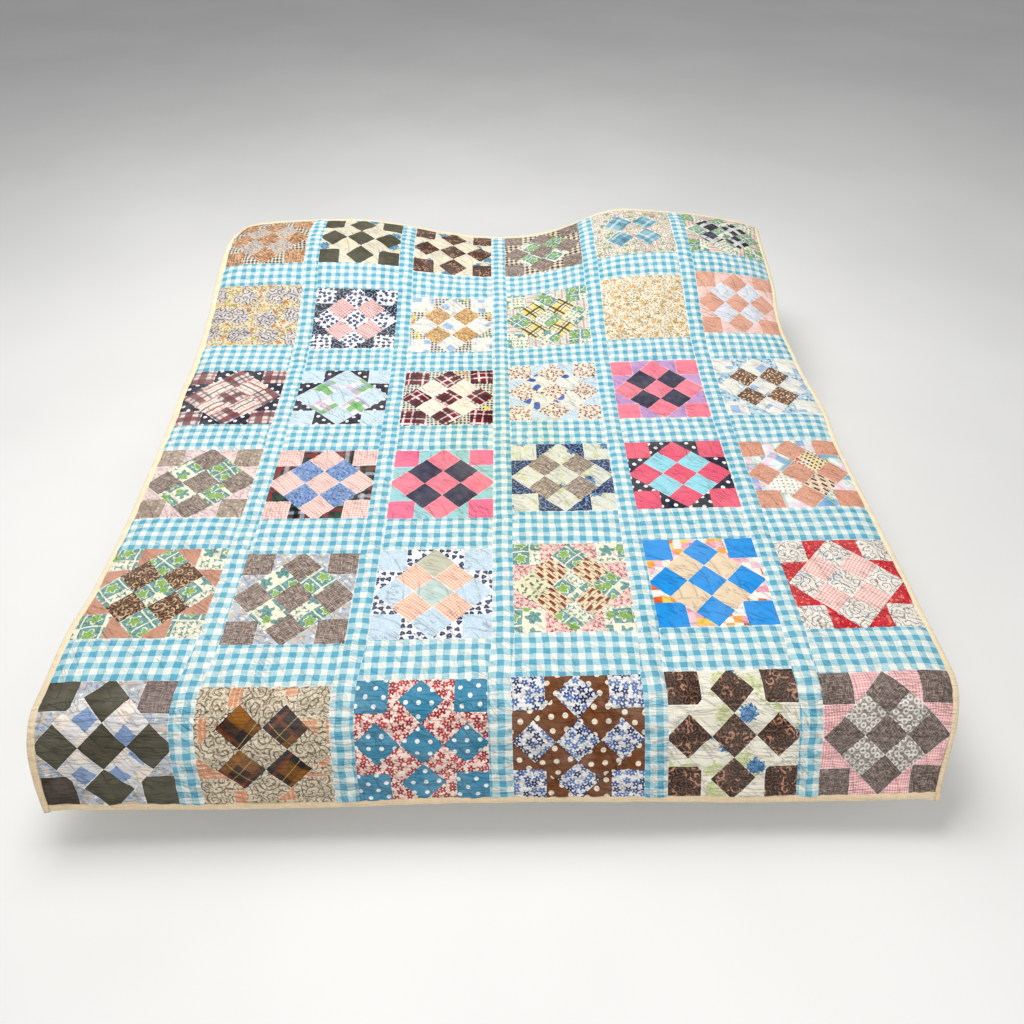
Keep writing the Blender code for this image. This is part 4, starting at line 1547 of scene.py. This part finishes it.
# The nine squares on point, by their steps along the two slanting directions.
SQUARE_NAMES = {
    (-1, -1): "left", (-1, 0): "lower left", (-1, 1): "bottom",
    (0, -1): "upper left", (0, 0): "middle", (0, 1): "lower right",
    (1, -1): "top", (1, 0): "upper right", (1, 1): "right",
}
SIDE_NAMES = {(-1, -1): "lower left", (-1, 1): "upper left", (1, -1): "lower right", (1, 1): "upper right"}

made_cottons = {}


def cotton(name):
    if name not in made_cottons:
        made_cottons[name] = top_cotton(name, SCRAPS[name])
    return made_cottons[name]


def seam_line(offset, direction):
    """A seam in the unit block: a point on it and the way it faces, sewn a little off and turned."""
    turn = math.atan2(direction[1], direction[0]) + SEAM_TURN * chance.normal()
    facing = np.array([math.cos(turn), math.sin(turn)])
    point = np.array([0.5, 0.5]) + np.array(direction) * (offset + SEAM_SLIP * chance.uniform(-1, 1))
    return point, facing


def side_of(points, line):
    point, facing = line
    return (points - point) @ facing


def cut_seam(builder, cut, line):
    """Cuts along one seam those faces of the flat block that are marked True."""
    point, facing = line
    geometry = {}
    for face, is_cut in zip(builder.faces, cut):
        if is_cut:
            geometry.update(dict.fromkeys([face, *face.edges, *face.verts]))
    plane = {"plane_co": (*point, 0), "plane_no": (*facing, 0)}
    bmesh.ops.bisect_plane(builder, geom=list(geometry), dist=SAME_POINT, **plane)


def middles(builder):
    return np.array([face.calc_center_median()[:2] for face in builder.faces])


def plan_seams():
    """The seams of one block: four rising, four falling, and the two of each corner square."""
    slant = math.sqrt(0.5)
    reach = chance.uniform(*NINE_PATCH) * slant
    corner = chance.uniform(*CORNER_SQUARE)
    rising = [seam_line(reach * step / 3, (slant, slant)) for step in (-3, -1, 1, 3)]
    falling = [seam_line(reach * step / 3, (slant, -slant)) for step in (-3, -1, 1, 3)]
    corners = {}
    for side_x, side_y in SIDE_NAMES:
        upright = seam_line((0.5 - corner) * side_x, (1, 0))
        level = seam_line((0.5 - corner) * side_y, (0, 1))
        corners[side_x, side_y] = (upright, level)
    return rising, falling, corners


def in_nine_patch(points, rising, falling, slack=0.0):
    """Which points lie in the nine squares on point."""
    inside = (side_of(points, rising[0]) > -slack) & (side_of(points, rising[3]) < slack)
    return inside & (side_of(points, falling[0]) > -slack) & (side_of(points, falling[3]) < slack)


def in_corner(points, side_x, side_y):
    return ((points[:, 0] - 0.5) * side_x > 0) & ((points[:, 1] - 0.5) * side_y > 0)


def cut_patches(builder, seams):
    """Cuts the flat block along all its seams."""
    rising, falling, corners = seams
    for line in (rising[0], rising[3], falling[0], falling[3]):
        cut_seam(builder, [True] * len(builder.faces), line)
    for line in rising[1:3] + falling[1:3]:
        cut_seam(builder, in_nine_patch(middles(builder), rising, falling), line)
    for sides, lines in corners.items():
        for line in lines:
            places = middles(builder)
            outer = ~in_nine_patch(places, rising, falling)
            cut_seam(builder, outer & in_corner(places, *sides), line)


def name_patches(builder, seams):
    """The name of the patch that each face is in."""
    rising, falling, corners = seams
    places = middles(builder)
    steps_rise = sum((side_of(places, line) > 0).astype(int) for line in rising)
    steps_fall = sum((side_of(places, line) > 0).astype(int) for line in falling)
    names = []
    for place, step_rise, step_fall in zip(places, steps_rise, steps_fall):
        if step_rise in (1, 2, 3) and step_fall in (1, 2, 3):
            names.append(SQUARE_NAMES[step_rise - 2, step_fall - 2])
            continue
        side_x, side_y = (1 if place[0] > 0.5 else -1), (1 if place[1] > 0.5 else -1)
        upright, level = corners[side_x, side_y]
        past_upright = side_of(place, upright) * side_x > 0
        past_level = side_of(place, level) * side_y > 0
        kind = "corner" if past_upright and past_level else "side" if past_upright else "end"
        names.append(f"{SIDE_NAMES[side_x, side_y]} {kind}")
    return names


def patch_cotton(patch, cottons):
    if patch in ("whole", "top", "left", "middle", "right", "bottom"):
        return cottons[0]
    if patch in SQUARE_NAMES.values():
        return cottons[1]
    if patch.endswith("corner"):
        return cottons[3] if len(cottons) > 3 else cottons[0]
    return cottons[2]


def seam_distance(flat, seams):
    """How far each point of the flat block is from its nearest seam, in metres."""
    nearest = np.minimum(0.5 - np.abs(flat[:, 0] - 0.5), 0.5 - np.abs(flat[:, 1] - 0.5))
    if seams:
        rising, falling, corners = seams
        from_rising = np.abs([side_of(flat, line) for line in rising])
        from_falling = np.abs([side_of(flat, line) for line in falling])
        inner = np.minimum(from_rising.min(0), from_falling.min(0))
        outer = np.minimum(from_rising[[0, 3]], from_falling[[0, 3]]).min(0)
        for sides, (upright, level) in corners.items():
            from_square = np.minimum(np.abs(side_of(flat, upright)), np.abs(side_of(flat, level)))
            outer = np.where(in_corner(flat, *sides), np.minimum(outer, from_square), outer)
        on_point = in_nine_patch(flat, rising, falling, 1e-5)
        nearest = np.minimum(nearest, np.where(on_point, inner, outer))
    return np.maximum(nearest, 0) * BLOCK


def cut_cloth(block, across, along, patches):
    """Maps each patch to its own cut of its cloth, turned at random. There is a patch name for each face."""
    corners = read_all(block.data.loops, "vertex_index")
    patch_of_corner = np.repeat(patches, read_all(block.data.polygons, "loop_total"))
    pairs = np.zeros((len(corners), 2))
    for patch in dict.fromkeys(patches):
        quarter = 0 if patch == "whole" else math.pi / 2 * chance.integers(0, 4)
        slant = math.pi / 4 if patch in SQUARE_NAMES.values() else 0
        angle = quarter + slant + PATCH_TURN * chance.normal()
        mine = patch_of_corner == patch
        here = corners[mine]
        pairs[mine] = np.stack(turned(across[here], along[here], angle, chance.uniform(-1, 1, 2)), -1)
    add_map(block, "grain", pairs)


def add_block(row, column, cottons):
    """Cuts a flat unit square along its seams, sorts its faces into patches and sews it on."""
    cells = round(BLOCK / BLOCK_CELL)
    builder = grid(cells + 1, cells + 1)
    bmesh.ops.scale(builder, vec=(0.5, 0.5, 1), verts=builder.verts)
    bmesh.ops.translate(builder, vec=(0.5, 0.5, 0), verts=builder.verts)
    seams = plan_seams()
    if len(cottons) == 1:
        seams = None
        patches = ["whole"] * len(builder.faces)
    else:
        cut_patches(builder, seams)
        patches = name_patches(builder, seams)
    cotton_of = {}
    for patch in dict.fromkeys(patches):
        usual = patch_cotton(patch, cottons)
        cotton_of[patch] = ODD_PATCHES.get((row + 1, column + 1, patch), usual)
    used = list(dict.fromkeys(cotton_of.values()))
    for face, patch in zip(builder.faces, patches):
        face.material_index = used.index(cotton_of[patch])
    flat = np.array([vert.co[:2] for vert in builder.verts])
    block = add_piece(f"block_{row + 1}_{column + 1}", builder, *(cotton(name) for name in used))
    across, along = in_cell(2 * row, 2 * column, flat[:, 0], flat[:, 1])
    cut_cloth(block, across, along, patches)
    return sew_on(block, across, along, seam_distance(flat, seams))


for block_row, row_cottons in enumerate(BLOCK_ROWS):
    top_pieces += [add_block(block_row, column, cottons) for column, cottons in enumerate(row_cottons)]

# ---------------------------------------------------------------- the binding
# A folded strip of cream cotton sewn round the raw edge, half an inch wide on the face. The two side strips
# run the full length and cover the ends of the foot and head strips. Washing has made it ripple.
BINDING_THICK = 0.0066
SEWN_GAP = 0.0005                 # between the cloth and its binding
BINDING_STEP = 0.005
BINDING_SECTION = 14              # points round the folded strip
BINDING_RIPPLE = 0.0021
RIPPLE_LENGTH = 0.018
SWELL_LENGTH = 0.06
# How much farther in each strip was sewn than half an inch, at its start and at its end.
BINDING_LAP = {"left": (0.002, 0.007), "right": (0.001, 0.001), "foot": (0.003, 0.003), "head": (0.0, 0.0)}
BINDING_CREAM = (240, 226, 192)
BINDING_PEACH = (222, 196, 160)   # it turns to this towards the foot


def bound_cotton(loom, place):
    cloud = loom.cloud(place, 0.03, detail=3.0)
    binding_mottle = loom.mix(loom.ramp(cloud, 0.3, 0.75, 0.0, 0.3), BINDING_CREAM, BINDING_PEACH)
    # The strips turn more peach towards the foot.
    along = loom.parts(loom.add("UVMap", uv_map="flat"))[1]
    return loom.mix(loom.ramp(along, 0.02, 0.5, 0.8, 0.0), binding_mottle, BINDING_PEACH)


binding_cotton = top_cotton("binding_cotton", bound_cotton)


def add_binding(name, edge, inward, start, end):
    """A rounded folded strip along one edge of the flat quilt, from start to end."""
    start, end, inward = np.array(start), np.array(end), np.array(inward)
    length = np.linalg.norm(end - start)
    share = np.linspace(0, 1, round(length / BINDING_STEP) + 1)
    run = share * length
    turn = np.linspace(0, 2 * math.pi, BINDING_SECTION, endpoint=False)
    # The section is a rounded box, from its outer edge round to its inner one and back.
    outwards = np.sign(np.cos(turn)) * np.abs(np.cos(turn)) ** 0.6
    upwards = np.sign(np.sin(turn)) * np.abs(np.sin(turn)) ** 0.8
    lap_start, lap_end = BINDING_LAP[name]
    ripple = lumps(run, np.full(run.shape, edge), RIPPLE_LENGTH, 1.0, 7)
    swell = lumps(run, np.full(run.shape, edge), SWELL_LENGTH, 1.0, 8)
    width = BINDING - SEWN_GAP + lap_start + (lap_end - lap_start) * share + BINDING_RIPPLE * swell
    thick = BINDING_THICK * (1 + 0.13 * ripple + 0.06 * swell)
    reach = width[:, None] * (1 - outwards[None, :]) / 2
    reach += BINDING_RIPPLE * (0.8 + 0.5 * ripple + 0.6 * swell)[:, None] * np.maximum(outwards, 0)[None, :]
    middle = start + (end - start) * share[:, None]
    across = middle[:, None, 0] + inward[0] * reach
    along = middle[:, None, 1] + inward[1] * reach
    points = lay(across, along, thick[:, None] * (1 + upwards)[None, :] / 2)

    builder = bmesh.new()
    rounds = [[builder.verts.new(point) for point in line] for line in points]
    for here, there in zip(rounds, rounds[1:]):
        for number in range(BINDING_SECTION):
            after = (number + 1) % BINDING_SECTION
            builder.faces.new((here[number], here[after], there[after], there[number]))
    for last in (rounds[0], rounds[-1]):
        builder.faces.new(last)
    bmesh.ops.recalc_face_normals(builder, faces=builder.faces)
    strip = add_piece(f"binding_strip_{name}", builder, binding_cotton)
    map_flat(strip, "flat", across, along)
    around = np.broadcast_to(turn * (BINDING + BINDING_THICK) / math.pi, across.shape)
    map_flat(strip, "grain", around, np.broadcast_to(run[:, None], across.shape))
    mark_seam(strip, np.full(across.shape, NO_SEAM))
    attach(strip, "root")
    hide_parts(f"binding_{name}")
    return strip


inner = HALF_WIDTH - BINDING
bindings = [
    add_binding("left", -HALF_WIDTH, (1, 0), (-HALF_WIDTH, 0), (-HALF_WIDTH, LENGTH)),
    add_binding("right", HALF_WIDTH, (-1, 0), (HALF_WIDTH, 0), (HALF_WIDTH, LENGTH)),
    add_binding("foot", 0.0, (0, 1), (-inner, 0), (inner, 0)),
    add_binding("head", LENGTH, (0, -1), (-inner, LENGTH), (inner, LENGTH)),
]

# ---------------------------------------------------------------- the room
# A plain pale floor, a large soft light overhead and a wide soft one from the foot, and the camera.
FLOOR = 12.0
FLOOR_TONES = ((228, 227, 224), (222, 221, 218))
ROOM_LIGHT = (240, 242, 245)
ROOM_STRENGTH = 0.40
builder = bmesh.new()
bmesh.ops.create_grid(builder, x_segments=1, y_segments=1, size=FLOOR)
loom = new_cloth("floor_paint", 0.7, 0.0)
tone = loom.ramp(loom.cloud(loom.spot(), 0.8, detail=3.0), 0.3, 0.7)
floor = add_piece("floor", builder, loom.finish(loom.mix(tone, *FLOOR_TONES)))

SOFT_LIGHTS = {                   # place, aimed at, side, watts
    "overhead": ((-0.5, 0.65, 3.1), (0.0, -0.1, 0.3), 1.8, 94),
    "foot": ((0.4, -3.4, 2.2), (0.0, -0.5, 0.2), 2.2, 58),
}
for name, (place, aim, side, watts) in SOFT_LIGHTS.items():
    lamp = bpy.data.lights.new(name, "AREA")
    lamp.shape = "SQUARE"
    lamp.size = side
    lamp.energy = watts
    light = put(name, lamp)
    light.location = place
    light.rotation_euler = (Vector(aim) - Vector(place)).to_track_quat("-Z", "Y").to_euler()

world = bpy.data.worlds.new("studio")
world.use_nodes = True
world.node_tree.nodes["Background"].inputs[0].default_value = dye(ROOM_LIGHT)
world.node_tree.nodes["Background"].inputs[1].default_value = ROOM_STRENGTH
bpy.context.scene.world = world
bpy.context.scene.view_settings.view_transform = "Standard"

CAMERA_PLACE = (0.0244, -1.5973, 1.4403)
CAMERA_DOWN = math.radians(44.1)
CAMERA_TURN = math.radians(2.22)  # towards the right
CAMERA_LENS = 27.83               # millimetres
CAMERA_SHIFT = -0.0238
lens = bpy.data.cameras.new("camera")
lens.lens = CAMERA_LENS
lens.sensor_width = 36
lens.shift_x = CAMERA_SHIFT
camera = put("camera", lens)
camera.location = CAMERA_PLACE
level = math.cos(CAMERA_DOWN)
looking = Vector((level * math.sin(CAMERA_TURN), level * math.cos(CAMERA_TURN), -math.sin(CAMERA_DOWN)))
camera.rotation_euler = looking.to_track_quat("-Z", "Y").to_euler()
bpy.context.scene.camera = camera
